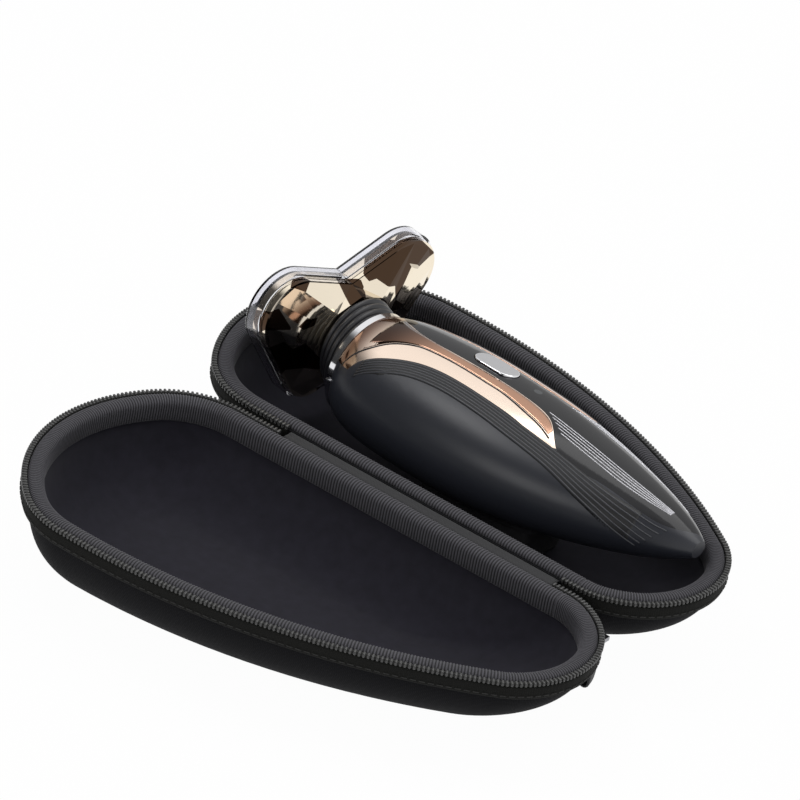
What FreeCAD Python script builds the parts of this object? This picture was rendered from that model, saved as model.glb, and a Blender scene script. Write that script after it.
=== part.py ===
import FreeCAD, Part
import os
from math import atan2, cos, hypot, pi, radians, sin, sqrt

# Hard travel case in two moulded halves, open flat on a table, with a rotary head shaver lying in one half.
# Lengths are in millimetres. X runs along the fabric hinge, from the wide end towards the narrow tip.
# Y runs from the hinge across the base half. Z is up. The origin is on the base half's flat rest face.

# Case, driving sizes
HALF_DEPTH = 36.0          # one half, from its rest face to the rim plane
HINGE_Y = -57.5            # fold line between the two halves, in the rim plane
HINGE_FROM_X = 15.0        # stretch of the long side where fabric joins the halves
HINGE_TO_X = 133.0
RIM_CORNERS = ((140.0, -30.0, 26.0), (143.0, -12.0, 26.0), (3.0, 22.0, 34.0), (-3.0, -22.0, 34.0))
RIM_ARCS = (37.0, 255.0, 68.0)      # tip end, long far side, wide end
FLOOR_CORNERS = ((84.0, -23.0, 8.0), (85.0, -11.0, 8.0), (6.0, 9.0, 13.0), (4.0, -11.0, 13.0))
FLOOR_ARCS = (18.0, 200.0, 34.0)
WALL_INSET = 3.5           # moulded wall, in from the outer edge of the rim
ROLL_INSET = 8.2           # inner edge of the padded roll, in from the outer edge of the rim
SHELL_WALL = 2.4
LINING_WALL = 0.8
FLANGE_DROP = 7.0          # the wall starts this far under the rim plane
LEVELS = (0.0, 0.3, 0.55, 0.75, 0.88, 0.96, 1.0)

# Shaver, driving sizes; it lies on its cradle, and settles with it as the lid closes
HEAD_BASE = (12.0, -1.8, HALF_DEPTH + 12.0)     # origin of the head frame
HEAD_YAW = -10.0           # the head and neck are turned a little more than the handle
BODY_YAW = -3.0            # the handle points at the narrow tip
NECK_AT = (0.0, -7.0)      # the neck's upper end, sideways and up, in the head frame
COLLAR_AT = (2.5, -10.5)   # the neck's lower end and the handle's nose
HANDLE_WALL = 2.2
# station along the handle, half width, half height, height of its middle, turn of the section
HANDLE_SECTIONS = (
    (0.0, 20.0, 19.7, 0.0, 1.0),
    (5.0, 24.8, 20.8, -0.2, 0.7),
    (14.0, 28.3, 21.6, -0.3, 0.3),
    (30.0, 30.5, 22.0, 0.0, 0.0),
    (52.0, 31.0, 21.8, 0.2, 0.0),
    (82.0, 28.0, 19.4, 0.8, 0.0),
    (112.0, 20.2, 14.4, 2.2, 0.0),
    (134.0, 12.0, 9.0, 3.6, 0.0),
    (148.0, 3.6, 3.2, 4.5, 0.0),
)
CRADLE = (34.0, 88.0, 14.0)     # from, to, half width, under the handle
CRADLE_GAP = 0.4
CRADLE_WALL = 1.4
SCREW_SECTIONS = (4, 5)         # belly screws stand under these sections
PANEL_ROLL = 25.0               # the top panel and the trims are turned round the handle, away from the hinge
# station and half width of the top panel's edge, and of the trims' outer edge, in the turned frame
PANEL_EDGE = ((3.0, 0.0), (12.0, 5.4), (30.0, 7.6), (54.0, 7.2), (68.0, 7.4), (78.0, 9.4), (84.5, 14.0),
              (89.0, 16.9), (107.0, 16.0), (124.0, 13.4), (139.0, 8.6), (146.5, 0.0))
TRIM_EDGE = ((-9.0, 30.0), (4.0, 25.0), (17.0, 21.2), (27.0, 18.7), (40.0, 17.5), (58.0, 17.4), (72.0, 17.6),
             (88.0, 17.2), (92.0, 0.0))
BUTTON_X = 45.0
BUTTON_TOP = 23.2
BUTTON_ROLL = 13.2              # the panel's slope under the button, and how far that spot lies off the middle
BUTTON_Y = 4.7
LIGHT_X = 64.0
SOCKET = (127.0, 5.0, 2.2)      # station, half width and half height of the charging socket

# Neck and head, distances along the head axis from the collar
BELLOWS_FROM = 2.6
BELLOWS_TO = 12.4
BELLOWS_RIBS = 4
FLEX_AT = 9.0              # the head tilts about a sideways axis here
HOUSING_BACK = 12.8
BAND_BACK = 18.4
CAVITY_BACK = 19.6
GEARS = (19.9, 21.3)
GEAR_PLATE = (21.6, 22.8)
HOUSING_FRONT = 24.0
CUTTERS = (23.2, 25.2)
GUARD_TOP = 26.2
CAP_BACK = 21.0
CAP_FRONT = 27.6

# Cutters: direction from the neck's axis in degrees, guard radius, teeth of its gear and of its idler
UPPER_CUTTER = (28.8, 12.0, 26, 14)
LOWER_CUTTER = (-44.8, 9.6, 20, 0)      # no idler: the pinion drives these gears itself
PINION_TEETH = 22
GEAR_MODULE = 0.8
RIM_AROUND = 2.0           # housing material outside each guard
AXLE = 1.5
FIT = 0.05                 # running clearance, on the radius

V = FreeCAD.Vector
RIM_Z = HALF_DEPTH
UP = V(0, 0, 1)


# Small geometry helpers

def box(x0, x1, y0, y1, z0, z1):
    return Part.makeBox(x1 - x0, y1 - y0, z1 - z0, V(x0, y0, z0))


def cylinder(radius, z0, z1, x=0.0, y=0.0):
    return Part.makeCylinder(radius, z1 - z0, V(x, y, z0), UP)


def tube(outer, inner, z0, z1):
    return cylinder(outer, z0, z1).cut(cylinder(inner, z0 - 1, z1 + 1))


def arc_edge(circle, start, end):
    """Anticlockwise arc of a circle (x, y, radius) between two unit directions."""
    x, y, r = circle
    a = atan2(start[1], start[0])
    b = atan2(end[1], end[0])
    while b < a:
        b += 2 * pi
    points = [V(x + r * cos(t), y + r * sin(t), 0) for t in (a, (a + b) / 2, b)]
    return Part.Arc(*points).toShape()


def circle_round(a, b, radius):
    """Circle of the given radius that touches circles a and b from outside, centred to the left of a to b."""
    ra, rb = radius - a[2], radius - b[2]
    dx, dy = b[0] - a[0], b[1] - a[1]
    gap = hypot(dx, dy)
    along = (ra * ra - rb * rb + gap * gap) / (2 * gap)
    side = sqrt(ra * ra - along * along)
    ux, uy = dx / gap, dy / gap
    return (a[0] + ux * along - uy * side, a[1] + uy * along + ux * side, radius)


def unit(a, b):
    dx, dy = b[0] - a[0], b[1] - a[1]
    size = hypot(dx, dy)
    return (dx / size, dy / size)


def outer_normal(a, b):
    """Normal, to the right of a to b, of the line that touches both circles."""
    dx, dy = unit(a, b)
    gap = hypot(b[0] - a[0], b[1] - a[1])
    c = (a[2] - b[2]) / gap
    s = sqrt(1 - c * c)
    return (dx * c + dy * s, dy * c - dx * s)


def teardrop(corners, arcs, inset, z):
    """Closed outline of one straight side and seven tangent arcs, moved in by the inset."""
    near_tip, far_tip, far_wide, near_wide = [(x, y, r - inset) for x, y, r in corners]
    tip = circle_round(near_tip, far_tip, arcs[0] - inset)
    far = circle_round(far_tip, far_wide, arcs[1] - inset)
    wide = circle_round(far_wide, near_wide, arcs[2] - inset)
    straight = outer_normal(near_wide, near_tip)
    chain = (near_tip, tip, far_tip, far, far_wide, wide, near_wide)
    turns = [straight]
    for a, b in zip(chain, chain[1:]):
        turns.append(unit(b, a) if b[2] > a[2] else unit(a, b))
    turns.append(straight)
    edges = [arc_edge(c, turns[i], turns[i + 1]) for i, c in enumerate(chain)]
    edges.append(Part.makeLine(edges[-1].Vertexes[-1].Point, edges[0].Vertexes[0].Point))
    wire = Part.Wire(Part.__sortEdges__(edges))
    wire.translate(V(0, 0, z))
    return wire


def rim_ring(inset_out, inset_in, drop_low, drop_high):
    """Ring that follows the rim outline, between two insets and two drops under the rim plane."""
    rise = V(0, 0, drop_low - drop_high)
    outer = Part.Face(teardrop(RIM_CORNERS, RIM_ARCS, inset_out, RIM_Z - drop_low)).extrude(rise)
    return outer.cut(Part.Face(teardrop(RIM_CORNERS, RIM_ARCS, inset_in, RIM_Z - drop_low)).extrude(rise))


def hull(skin):
    """Rounded boat shape of one half, with its skin taken off all round and at the floor."""
    wires = []
    depth = HALF_DEPTH - skin - FLANGE_DROP
    for level in LEVELS:
        e = 1 - sqrt(1 - level * level)
        corners = []
        for rim, floor in zip(RIM_CORNERS, FLOOR_CORNERS):
            start = (rim[0], rim[1], rim[2] - WALL_INSET)
            corners.append([a + (b - a) * e for a, b in zip(start, floor)])
        arcs = [a - WALL_INSET + (b - a + WALL_INSET) * e for a, b in zip(RIM_ARCS, FLOOR_ARCS)]
        wires.append(teardrop(corners, arcs, skin, RIM_Z - FLANGE_DROP - depth * level))
    return Part.makeLoft(wires, True, False)


def mirrored(shape):
    """The lid half is the mirror image of the base half across the fold line."""
    return shape.mirror(V(0, HINGE_Y, 0), V(0, 1, 0))


# Case half: shell, lining, rim binding, zip tape and zip coil

def half_shell():
    wall = hull(0.0).cut(hull(SHELL_WALL))
    flange = rim_ring(1.4, WALL_INSET + SHELL_WALL, FLANGE_DROP, 2.6)
    return wall.fuse(flange).removeSplitter()


def half_lining():
    return hull(SHELL_WALL).cut(hull(SHELL_WALL + LINING_WALL))


def rim_binding():
    """Padded roll of ribbed fabric: it caps the flange and turns down inside the opening."""
    lip = rim_ring(6.9, ROLL_INSET, 8.6, 2.6)
    outer = []
    inner = []
    for drop, tuck in ((2.6, 0.0), (1.7, 0.1), (1.0, 0.6), (0.6, 1.3), (0.4, 2.2)):
        outer.append(teardrop(RIM_CORNERS, RIM_ARCS, 2.4 + tuck, RIM_Z - drop))
        inner.append(teardrop(RIM_CORNERS, RIM_ARCS, ROLL_INSET - tuck, RIM_Z - drop))
    roll = Part.makeLoft(outer, True, True).cut(Part.makeLoft(inner, True, True))
    return roll.fuse(lip).removeSplitter()


def zip_tape():
    return rim_ring(0.5, 1.4, 7.5, 2.3).cut(hinge_gap())


def zip_coil():
    return rim_ring(0.2, 2.2, 2.3, 0.4).cut(hinge_gap())


def hinge_gap():
    return box(HINGE_FROM_X, HINGE_TO_X, HINGE_Y, HINGE_Y + 6, 0, RIM_Z + 5)


def case_halves():
    nodes = {}
    makers = (("shell", half_shell), ("lining", half_lining), ("rim_binding", rim_binding),
              ("zip_tape", zip_tape), ("zip_coil", zip_coil))
    for name, maker in makers:
        shape = maker()
        nodes["base_" + name] = shape
        nodes["lid_" + name] = mirrored(shape)
    return nodes


# Fabric hinge, zip end and grab tab

def hinge_panel():
    """Strip of fabric between the two flanges, along the joined stretch."""
    return box(HINGE_FROM_X, HINGE_TO_X, HINGE_Y - 2.8, HINGE_Y + 2.9, RIM_Z - 3.8, RIM_Z - 2.8)


def zip_tail():
    """Joined end of the two zip tapes, turned down behind the hinge fabric."""
    leg = box(112, 116, HINGE_Y - 2.6, HINGE_Y + 2.6, RIM_Z - 10.9, RIM_Z - 3.8)
    tail = box(112, 135, HINGE_Y - 3.5, HINGE_Y + 3.5, RIM_Z - 10.9, RIM_Z - 9.6)
    return leg.fuse(tail).removeSplitter()


def zip_end_stops():
    """Two crimped stops across the tail."""
    stops = [box(x, x + 2.4, HINGE_Y - 3.1, HINGE_Y + 3.1, RIM_Z - 11.5, RIM_Z - 10.9) for x in (118.0, 122.0)]
    return Part.makeCompound(stops)


def zip_slider():
    """Slider with two plates that grip the tail, side lips, a wedge post and a lug for the pull."""
    y0, y1 = HINGE_Y - 4.6, HINGE_Y + 4.6
    block = box(126.5, 138.5, y0, y1, RIM_Z - 12.4, RIM_Z - 8.3)
    channel = box(126.0, 136.0, HINGE_Y - 3.8, HINGE_Y + 3.8, RIM_Z - 11.2, RIM_Z - 9.3)
    mouths = [box(136.0, 139.0, y0 - 1, HINGE_Y - 1.2, RIM_Z - 11.2, RIM_Z - 9.3),
              box(136.0, 139.0, HINGE_Y + 1.2, y1 + 1, RIM_Z - 11.2, RIM_Z - 9.3)]
    body = block.cut(channel)
    for mouth in mouths:
        body = body.cut(mouth)
    lug = box(130.5, 134.5, HINGE_Y - 1.4, HINGE_Y + 1.4, RIM_Z - 16.0, RIM_Z - 12.4)
    hole = Part.makeCylinder(0.85, 8, V(132.5, HINGE_Y - 4, RIM_Z - 14.4), V(0, 1, 0))
    return body.fuse(lug).cut(hole).removeSplitter()


def zip_pull():
    """Flat puller with a cross pin through the slider's lug."""
    y0, y1 = HINGE_Y - 3.4, HINGE_Y + 3.4
    z0, z1 = RIM_Z - 15.2, RIM_Z - 13.6
    plate = box(131.4, 156.0, y0, y1, z0, z1)
    window = box(128.0, 136.0, HINGE_Y - 1.8, HINGE_Y + 1.8, z0 - 1, z1 + 1)
    pin = Part.makeCylinder(0.8, y1 - y0 - 2, V(132.5, y0 + 1, RIM_Z - 14.4), V(0, 1, 0))
    return plate.cut(window).fuse(pin).removeSplitter()


def grab_tab():
    """Short webbing loop on the lid's tip, to hold while the zip is drawn."""
    x, y, _ = RIM_CORNERS[0]
    wedge = Part.makeCylinder(60, 40, V(x, y, 0), UP, 30)
    wedge.rotate(V(x, y, 0), UP, -40)
    loop = rim_ring(-0.6, 3.4, 19.0, 7.55).fuse(rim_ring(2.2, 3.4, 8.0, 7.0))
    loop = loop.cut(rim_ring(0.6, 2.2, 17.8, 7.0))
    return mirrored(loop.common(wedge))


# Shaver placement: the handle frame has x towards the tail, y sideways and z up;
# the head frame has x sideways, y up the face and z out of the face

def head_frame():
    upright = FreeCAD.Rotation(V(0, -1, 0), V(0, 0, 1), V(-1, 0, 0), "ZXY")
    turn = FreeCAD.Rotation(UP, HEAD_YAW)
    return FreeCAD.Placement(V(*HEAD_BASE), turn.multiply(upright))


def handle_frame():
    nose = head_frame().multVec(V(COLLAR_AT[0], COLLAR_AT[1], 0))
    return FreeCAD.Placement(nose, FreeCAD.Rotation(UP, BODY_YAW))


def handle_place(shape):
    placed = shape.copy()
    placed.Placement = handle_frame().multiply(placed.Placement)
    return placed


def head_place(shape):
    placed = shape.copy()
    placed.Placement = head_frame().multiply(placed.Placement)
    return placed


# Handle: a hollow teardrop, split into a lower shell, a top panel and two side trims

def handle_loft(skin, last):
    """Smooth body through upright ellipses, with its skin taken off; the first ones turn with the neck."""
    wires = []
    for station, half_width, half_height, middle, share in HANDLE_SECTIONS[:last]:
        ellipse = Part.Ellipse(V(0, 0, 0), half_width - skin, half_height - skin)
        wire = Part.Wire([ellipse.toShape()])
        turn = FreeCAD.Rotation(V(0, 1, 0), V(0, 0, 1), V(1, 0, 0), "ZXY")
        wire.Placement = FreeCAD.Placement(V(0, 0, 0), turn)
        wire.rotate(V(0, 0, 0), UP, share * (HEAD_YAW - BODY_YAW))
        wire.translate(V(station, 0, middle))
        wires.append(wire)
    return Part.makeLoft(wires, True, False)


def leaf_prism(points, z0, z1):
    """Upright prism between a smooth line through the points and its mirror image."""
    edges = []
    for side in (1, -1):
        line = Part.BSplineCurve()
        line.interpolate([V(x, side * y, 0) for x, y in points])
        edges.append(line.toShape())
    if points[0][1]:
        x, y = points[0]
        edges.append(Part.makeLine(V(x, y, 0), V(x, -y, 0)))
    face = Part.Face(Part.Wire(Part.__sortEdges__(edges)))
    face.translate(V(0, 0, z0))
    return face.extrude(V(0, 0, z1 - z0))


def rolled(shape):
    placed = shape.copy()
    placed.rotate(V(0, 0, 0), V(1, 0, 0), -PANEL_ROLL)
    return placed


def under_button(shape):
    """A shape drawn for the top of the handle, moved to the panel's slope at the button."""
    placed = shape.copy()
    placed.translate(V(0, BUTTON_Y, 0))
    placed.rotate(V(0, 0, 0), V(1, 0, 0), -BUTTON_ROLL)
    return placed


def handle_wall():
    cavity = handle_loft(HANDLE_WALL, len(HANDLE_SECTIONS) - 1)
    nose = box(-20, 3.0, -40, 40, -40, 40)
    nose.rotate(V(0, 0, 0), UP, HEAD_YAW - BODY_YAW)
    return handle_loft(0.0, len(HANDLE_SECTIONS)).cut(cavity.cut(nose))


def panel_prism():
    return rolled(leaf_prism(PANEL_EDGE, 3.0, 40.0))


def trim_prism():
    return rolled(leaf_prism(TRIM_EDGE, 0.0, 40.0))


def oval(length, width, z0, z1, x):
    radius = width / 2
    reach = length / 2 - radius
    body = box(x - reach, x + reach, -radius, radius, z0, z1)
    for end in (x - reach, x + reach):
        body = body.fuse(cylinder(radius, z0, z1, end))
    return body.removeSplitter()


def belly_places():
    """Station and lowest point of the handle's outer skin at each belly screw."""
    places = []
    for index in SCREW_SECTIONS:
        station, _, half_height, middle, _ = HANDLE_SECTIONS[index]
        places.append((station, middle - half_height))
    return places


def belly_screws():
    """Countersunk screws up through the belly into the chassis posts."""
    screws = []
    for x, bottom in belly_places():
        head = Part.makeCone(2.4, 1.25, 1.6, V(x, 0, bottom + 0.4), UP)
        shank = cylinder(1.25, bottom + 1.9, bottom + 6.5, x)
        screws.append(head.fuse(shank).removeSplitter())
    return Part.makeCompound(screws)


def screw_wells():
    return Part.makeCompound([cylinder(2.5, bottom - 1, bottom + 0.4, x) for x, bottom in belly_places()])


def handle_parts():
    wall = handle_wall()
    panel_tool = panel_prism()
    trim_tool = trim_prism().cut(panel_tool)
    button_hole = under_button(oval(18.5, 10.5, 10.0, 30.0, BUTTON_X))
    light_hole = under_button(cylinder(1.6, 8.0, 30.0, LIGHT_X))
    shaft_hole = cylinder(3.4, -8.0, 4.0, *NECK_AT)
    shaft_hole.Placement = handle_frame().inverse().multiply(head_frame())
    station, half_y, half_z = SOCKET
    socket_hole = box(station - half_z, station + half_z, -half_y, half_y, -13.0, -1.8)
    wall = wall.cut(shaft_hole).cut(socket_hole)
    lower = wall.cut(panel_tool).cut(trim_tool)
    lower = lower.cut(belly_screws()).cut(screw_wells())
    nodes = {"handle_shell": lower}
    nodes["top_panel"] = wall.common(panel_tool).cut(button_hole).cut(light_hole)
    for name, side in (("left", 1), ("right", -1)):
        half = rolled(box(-20, 120, min(0, 40 * side), max(0, 40 * side), -20, 60))
        nodes["trim_" + name] = wall.common(trim_tool).common(half)
    nodes["status_light"] = wall.common(light_hole)
    return nodes


def power_button():
    """Oval cap with a flange under the panel and a stem down to the switch."""
    cap = oval(18.0, 10.0, 17.3, BUTTON_TOP, BUTTON_X)
    top = [e for e in cap.Edges if abs(e.BoundBox.ZMin - BUTTON_TOP) < 1e-6]
    cap = cap.makeFillet(0.5, top)
    flange = oval(20.5, 12.5, 16.1, 17.3, BUTTON_X)
    return under_button(cap.fuse(flange).fuse(cylinder(1.5, 14.5, 16.1, BUTTON_X)).removeSplitter())


def handle_insides():
    nodes = {}
    chassis = box(38, 84, -9, 9, -14.4, -13.0)
    for x, bottom in belly_places():
        chassis = chassis.fuse(cylinder(3.0, bottom + HANDLE_WALL + 0.6, -14.4, x))
    screws = belly_screws()
    nodes["chassis"] = chassis.removeSplitter().cut(screws)
    nodes["belly_screws"] = screws
    cells = [Part.makeCylinder(7.1, 46.0, V(40, y, -5.4), V(1, 0, 0)) for y in (-7.4, 7.4)]
    nodes["battery_cells"] = Part.makeCompound(cells)
    nodes["circuit_board"] = box(36, 94, -10, 10, 4.0, 5.6)
    switch = under_button(box(BUTTON_X - 3, BUTTON_X + 3, -3, 3, 1.0, 13.3))
    nodes["power_switch"] = switch.common(box(0, 100, -20, 20, 5.6, 20))
    station, half_y, half_z = SOCKET
    shell = box(station - half_z + 0.1, station + half_z - 0.1, -half_y + 0.1, half_y - 0.1, -3.8, 3.2)
    nodes["charging_socket"] = shell.cut(box(station - 1.4, station + 1.4, -4.3, 4.3, -4.8, 1.8))
    return nodes


# Cradle under the handle and the foam that carries it

def belly_sheet(inner, outer, reach):
    """Part of the handle's belly between two offsets, within the cradle's length and the given half width."""
    start, end, _ = CRADLE
    sheet = handle_loft(-outer, len(HANDLE_SECTIONS)).cut(handle_loft(-inner, len(HANDLE_SECTIONS)))
    return sheet.common(box(start, end, -reach, reach, -45, -12))


def cradle_tray():
    return handle_place(belly_sheet(CRADLE_GAP, CRADLE_GAP + CRADLE_WALL, CRADLE[2]))


def foam_pad():
    """Soft block from the lining up to the cradle."""
    start, end, reach = CRADLE
    block = box(start + 3, end - 3, 3 - reach, reach - 3, -50, -12)
    block = block.cut(handle_loft(-CRADLE_GAP - CRADLE_WALL - 0.05, len(HANDLE_SECTIONS)))
    lower = handle_place(block).common(hull(SHELL_WALL + LINING_WALL + 0.4))
    return max(lower.Solids, key=lambda solid: solid.Volume)


# Neck and drive, in the head frame

def at(spot, shape):
    """A shape drawn round the origin, moved to a spot of the head frame."""
    placed = shape.copy()
    placed.translate(V(spot[0], spot[1], 0))
    return placed


def neck_collar():
    collar = tube(20.0, 14.0, 0.05, 2.4)
    return at(COLLAR_AT, collar.cut(Part.makeCylinder(1.0 + FIT, 60, V(-30, 0, 1.25), V(1, 0, 0))))


def neck_studs():
    """Small release studs on both sides of the collar, one per node."""
    studs = {}
    for name, side in (("left", -1), ("right", 1)):
        stud = Part.makeCylinder(1.0, 6.0, V(side * 21.2, 0, 1.25), V(-side, 0, 0))
        studs["release_stud_" + name] = at(COLLAR_AT, stud)
    return studs


def neck_circle(q, radius):
    """Circle across the neck; its middle moves from the collar's to the head's along the neck."""
    share = (q - BELLOWS_FROM) / (BELLOWS_TO - BELLOWS_FROM)
    x, y = [a + (b - a) * share for a, b in zip(COLLAR_AT, NECK_AT)]
    return Part.Wire([Part.Circle(V(x, y, q), UP, radius).toShape()])


def bellows():
    """Rubber sleeve of four ribs, tapering to the head: each goes from a root over a flat crest and back."""
    pitch = (BELLOWS_TO - BELLOWS_FROM) / BELLOWS_RIBS
    wires = []
    for rib in range(BELLOWS_RIBS):
        crest = 18.4 - 0.5 * rib
        start = BELLOWS_FROM + rib * pitch
        for share, radius in ((0.0, crest - 1.7), (0.25, crest), (0.7, crest), (0.97, crest - 1.7)):
            wires.append(neck_circle(start + share * pitch, radius))
    bore = Part.makeLoft([neck_circle(q, 13.6) for q in (BELLOWS_FROM - 1, BELLOWS_TO + 1)], True, True)
    return Part.makeLoft(wires, True, True).cut(bore)


def tilt_bore(radius):
    return Part.makeCylinder(radius, 40, V(NECK_AT[0] - 20, NECK_AT[1], FLEX_AT), V(1, 0, 0))


def neck_post():
    """Fixed disc in the neck with two ears that hold the tilt pins."""
    x, y = NECK_AT
    post = cylinder(12.2, 0.05, 3.0, *COLLAR_AT)
    for side in (-1, 1):
        ear = box(x + side * 6.2 - 1.0, x + side * 6.2 + 1.0, y - 2.6, y + 2.6, 1.0, FLEX_AT + 2.2)
        post = post.fuse(ear)
    return post.removeSplitter().cut(cylinder(4.0, -1, 4, x, y)).cut(tilt_bore(1.2))


def tilt_pins():
    pins = [Part.makeCylinder(1.2, 4.6, V(NECK_AT[0] + x, NECK_AT[1], FLEX_AT), V(1, 0, 0)) for x in (-9.8, 5.2)]
    return Part.makeCompound(pins)


def motor():
    """Can with the rotor's room inside, a bush at each end and a boss at the front."""
    can = cylinder(11.0, -31.0, -5.4).cut(cylinder(9.0, -29.5, -7.0))
    boss = cylinder(3.2, -5.4, -4.2)
    return at(NECK_AT, can.fuse(boss).removeSplitter().cut(cylinder(1.0 + FIT, -32, -4)))


def motor_bracket():
    """Plate over the motor's front, on two legs from the handle's front wall."""
    plate = tube(12.6, 3.25, -5.35, -4.3)
    legs = [cylinder(1.4, -4.3, -3.05, x) for x in (-9.0, 9.0)]
    return at(NECK_AT, plate.fuse(legs[0]).fuse(legs[1]).removeSplitter())


def drive_shaft():
    """Rod with the motor's rotor core behind and a cup at the flex point."""
    rod = cylinder(1.0, -30.6, 6.0).fuse(cylinder(8.0, -28.5, -8.5))
    cup = cylinder(2.6, 6.0, FLEX_AT + 1.2).cut(cylinder(1.7, 7.2, FLEX_AT + 2))
    return at(NECK_AT, rod.fuse(cup).removeSplitter())


# Head: faceted housing, gear train, cutters, guards and clear cap, in the head frame

def polar(reach, angle):
    return (reach * cos(radians(angle)), reach * sin(radians(angle)))


def flipped(direction):
    return (-direction[0], direction[1])


def pitch_radius(teeth):
    return GEAR_MODULE * teeth / 2


def spot(reach, angle):
    """Point of the head frame at a distance and direction from the neck's axis."""
    x, y = polar(reach, angle)
    return (NECK_AT[0] + x, NECK_AT[1] + y)


def gear_reach(place):
    """Distance from the neck's axis to a cutter: pinion, idler and cutter gear in a row."""
    return pitch_radius(PINION_TEETH) + 2 * pitch_radius(place[3]) + pitch_radius(place[2])


def wing_circles(grow):
    """Right upper and right lower lobe of the butterfly outline."""
    circles = []
    for place in (UPPER_CUTTER, LOWER_CUTTER):
        x, y = spot(gear_reach(place), place[0])
        circles.append((x, y, place[1] + RIM_AROUND + grow))
    return circles


NOTCH = polar(1.0, 110.0)       # the top edge leaves each upper lobe here and runs straight to the notch
BELOW = polar(1.0, -120.0)


def wing_outline(grow, z):
    """Butterfly outline: two upper and two lower lobes, a notch at the top and a straight bottom."""
    upper, lower = wing_circles(grow)
    upper_left = (-upper[0], upper[1], upper[2])
    lower_left = (-lower[0], lower[1], lower[2])
    side = outer_normal(lower, upper)
    right = [arc_edge(lower, BELOW, side), arc_edge(upper, side, NOTCH)]
    left = [arc_edge(upper_left, flipped(NOTCH), flipped(side)),
            arc_edge(lower_left, flipped(side), flipped(BELOW))]
    leave = right[1].Vertexes[-1].Point
    notch_point = V(0, leave.y + leave.x * NOTCH[0] / NOTCH[1], 0)
    edges = right + left
    edges.append(Part.makeLine(right[0].Vertexes[-1].Point, right[1].Vertexes[0].Point))
    edges.append(Part.makeLine(left[0].Vertexes[-1].Point, left[1].Vertexes[0].Point))
    edges.append(Part.makeLine(leave, notch_point))
    edges.append(Part.makeLine(notch_point, left[0].Vertexes[0].Point))
    edges.append(Part.makeLine(left[1].Vertexes[-1].Point, right[0].Vertexes[0].Point))
    wire = Part.Wire(Part.__sortEdges__(edges))
    wire.translate(V(0, 0, z))
    return wire


def wing_plate(grow, z0, z1):
    return Part.Face(wing_outline(grow, z0)).extrude(V(0, 0, z1 - z0))


def facet_corners():
    """Corners of the faceted back, on the butterfly outline, anticlockwise from the bottom."""
    upper, lower = wing_circles(-0.2)
    right = []
    for circle, angles in ((lower, (-118, -75, -30)), (upper, (-40, 0, 40, 80, 108))):
        for angle in angles:
            x, y = polar(circle[2], angle)
            right.append((circle[0] + x, circle[1] + y))
    top = right[-1]
    notch = (0.0, top[1] + top[0] * NOTCH[0] / NOTCH[1])
    left = [(-x, y) for x, y in reversed(right)]
    return right + [notch] + left


def flat_face(*points):
    return Part.Face(Part.makePolygon(list(points) + [points[0]]))


def faceted_back():
    """Flat triangles from the outline back to a smaller ring round the neck."""
    corners = facet_corners()
    edge = [V(x, y, BAND_BACK + 0.2) for x, y in corners]
    neck = []
    for corner in corners:
        x, y = unit(NECK_AT, corner)
        neck.append(V(NECK_AT[0] + 17.4 * x, NECK_AT[1] + 17.4 * y, HOUSING_BACK))
    faces = [flat_face(*edge), flat_face(*neck)]
    for i in range(len(corners)):
        j = (i + 1) % len(corners)
        if i % 2 == 0:
            faces.append(flat_face(edge[i], edge[j], neck[j]))
            faces.append(flat_face(edge[i], neck[j], neck[i]))
        else:
            faces.append(flat_face(edge[i], edge[j], neck[i]))
            faces.append(flat_face(edge[j], neck[j], neck[i]))
    solid = Part.Solid(Part.Shell(faces))
    if solid.Volume < 0:
        solid.reverse()
    return solid


def head_housing():
    """Smooth band and faceted back, hollow for the gears, with two lugs on the tilt pins."""
    body = wing_plate(0.0, BAND_BACK, HOUSING_FRONT).fuse(faceted_back())
    body = body.cut(wing_plate(-2.4, CAVITY_BACK, HOUSING_FRONT + 1))
    x, y = NECK_AT
    body = body.cut(cylinder(14.0, HOUSING_BACK - 1, CAVITY_BACK, x, y))
    for side in (-1, 1):
        near, lug, web = [x + side * reach for reach in (7.4, 9.4, 15.0)]
        body = body.fuse(box(min(near, lug), max(near, lug), y - 2.6, y + 2.6, FLEX_AT - 2.6, CAVITY_BACK))
        body = body.fuse(box(min(near, web), max(near, web), y - 2.6, y + 2.6, 16.4, CAVITY_BACK))
    return body.removeSplitter().cut(tilt_bore(1.2 + FIT))


def gear(teeth, phase, x, y):
    """Spur gear with slim straight-sided teeth, one of them centred on the phase angle, and an axle above."""
    tip = pitch_radius(teeth) + 0.8 * GEAR_MODULE
    root = pitch_radius(teeth) - 1.15 * GEAR_MODULE
    step = 2 * pi / teeth
    points = []
    for k in range(teeth):
        for radius, share in ((root, -0.26), (tip, -0.09), (tip, 0.09), (root, 0.26)):
            angle = phase + (k + share) * step
            points.append(V(x + radius * cos(angle), y + radius * sin(angle), GEARS[0]))
    return flat_face(*points).extrude(V(0, 0, GEARS[1] - GEARS[0]))


def mesh_phase(toward, driver_phase, driver_teeth, teeth):
    """Phase that puts a gear's teeth in the gaps of the one that drives it, seen in the given direction."""
    travel = pitch_radius(driver_teeth) * (toward - driver_phase) - pi * GEAR_MODULE / 2
    return toward + pi + travel / pitch_radius(teeth)


def gear_trains():
    """Four trains out from the pinion: number, direction, cutter's spot, guard radius, teeth."""
    trains = []
    for number, place in enumerate((UPPER_CUTTER, LOWER_CUTTER)):
        angle, radius, teeth, idler_teeth = place
        for side, toward in ((1, angle), (2, 180 - angle)):
            trains.append((2 * number + side, toward, spot(gear_reach(place), toward), radius, teeth, idler_teeth))
    return trains


def idler_spot(toward, idler_teeth):
    return spot(pitch_radius(PINION_TEETH + idler_teeth), toward)


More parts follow.
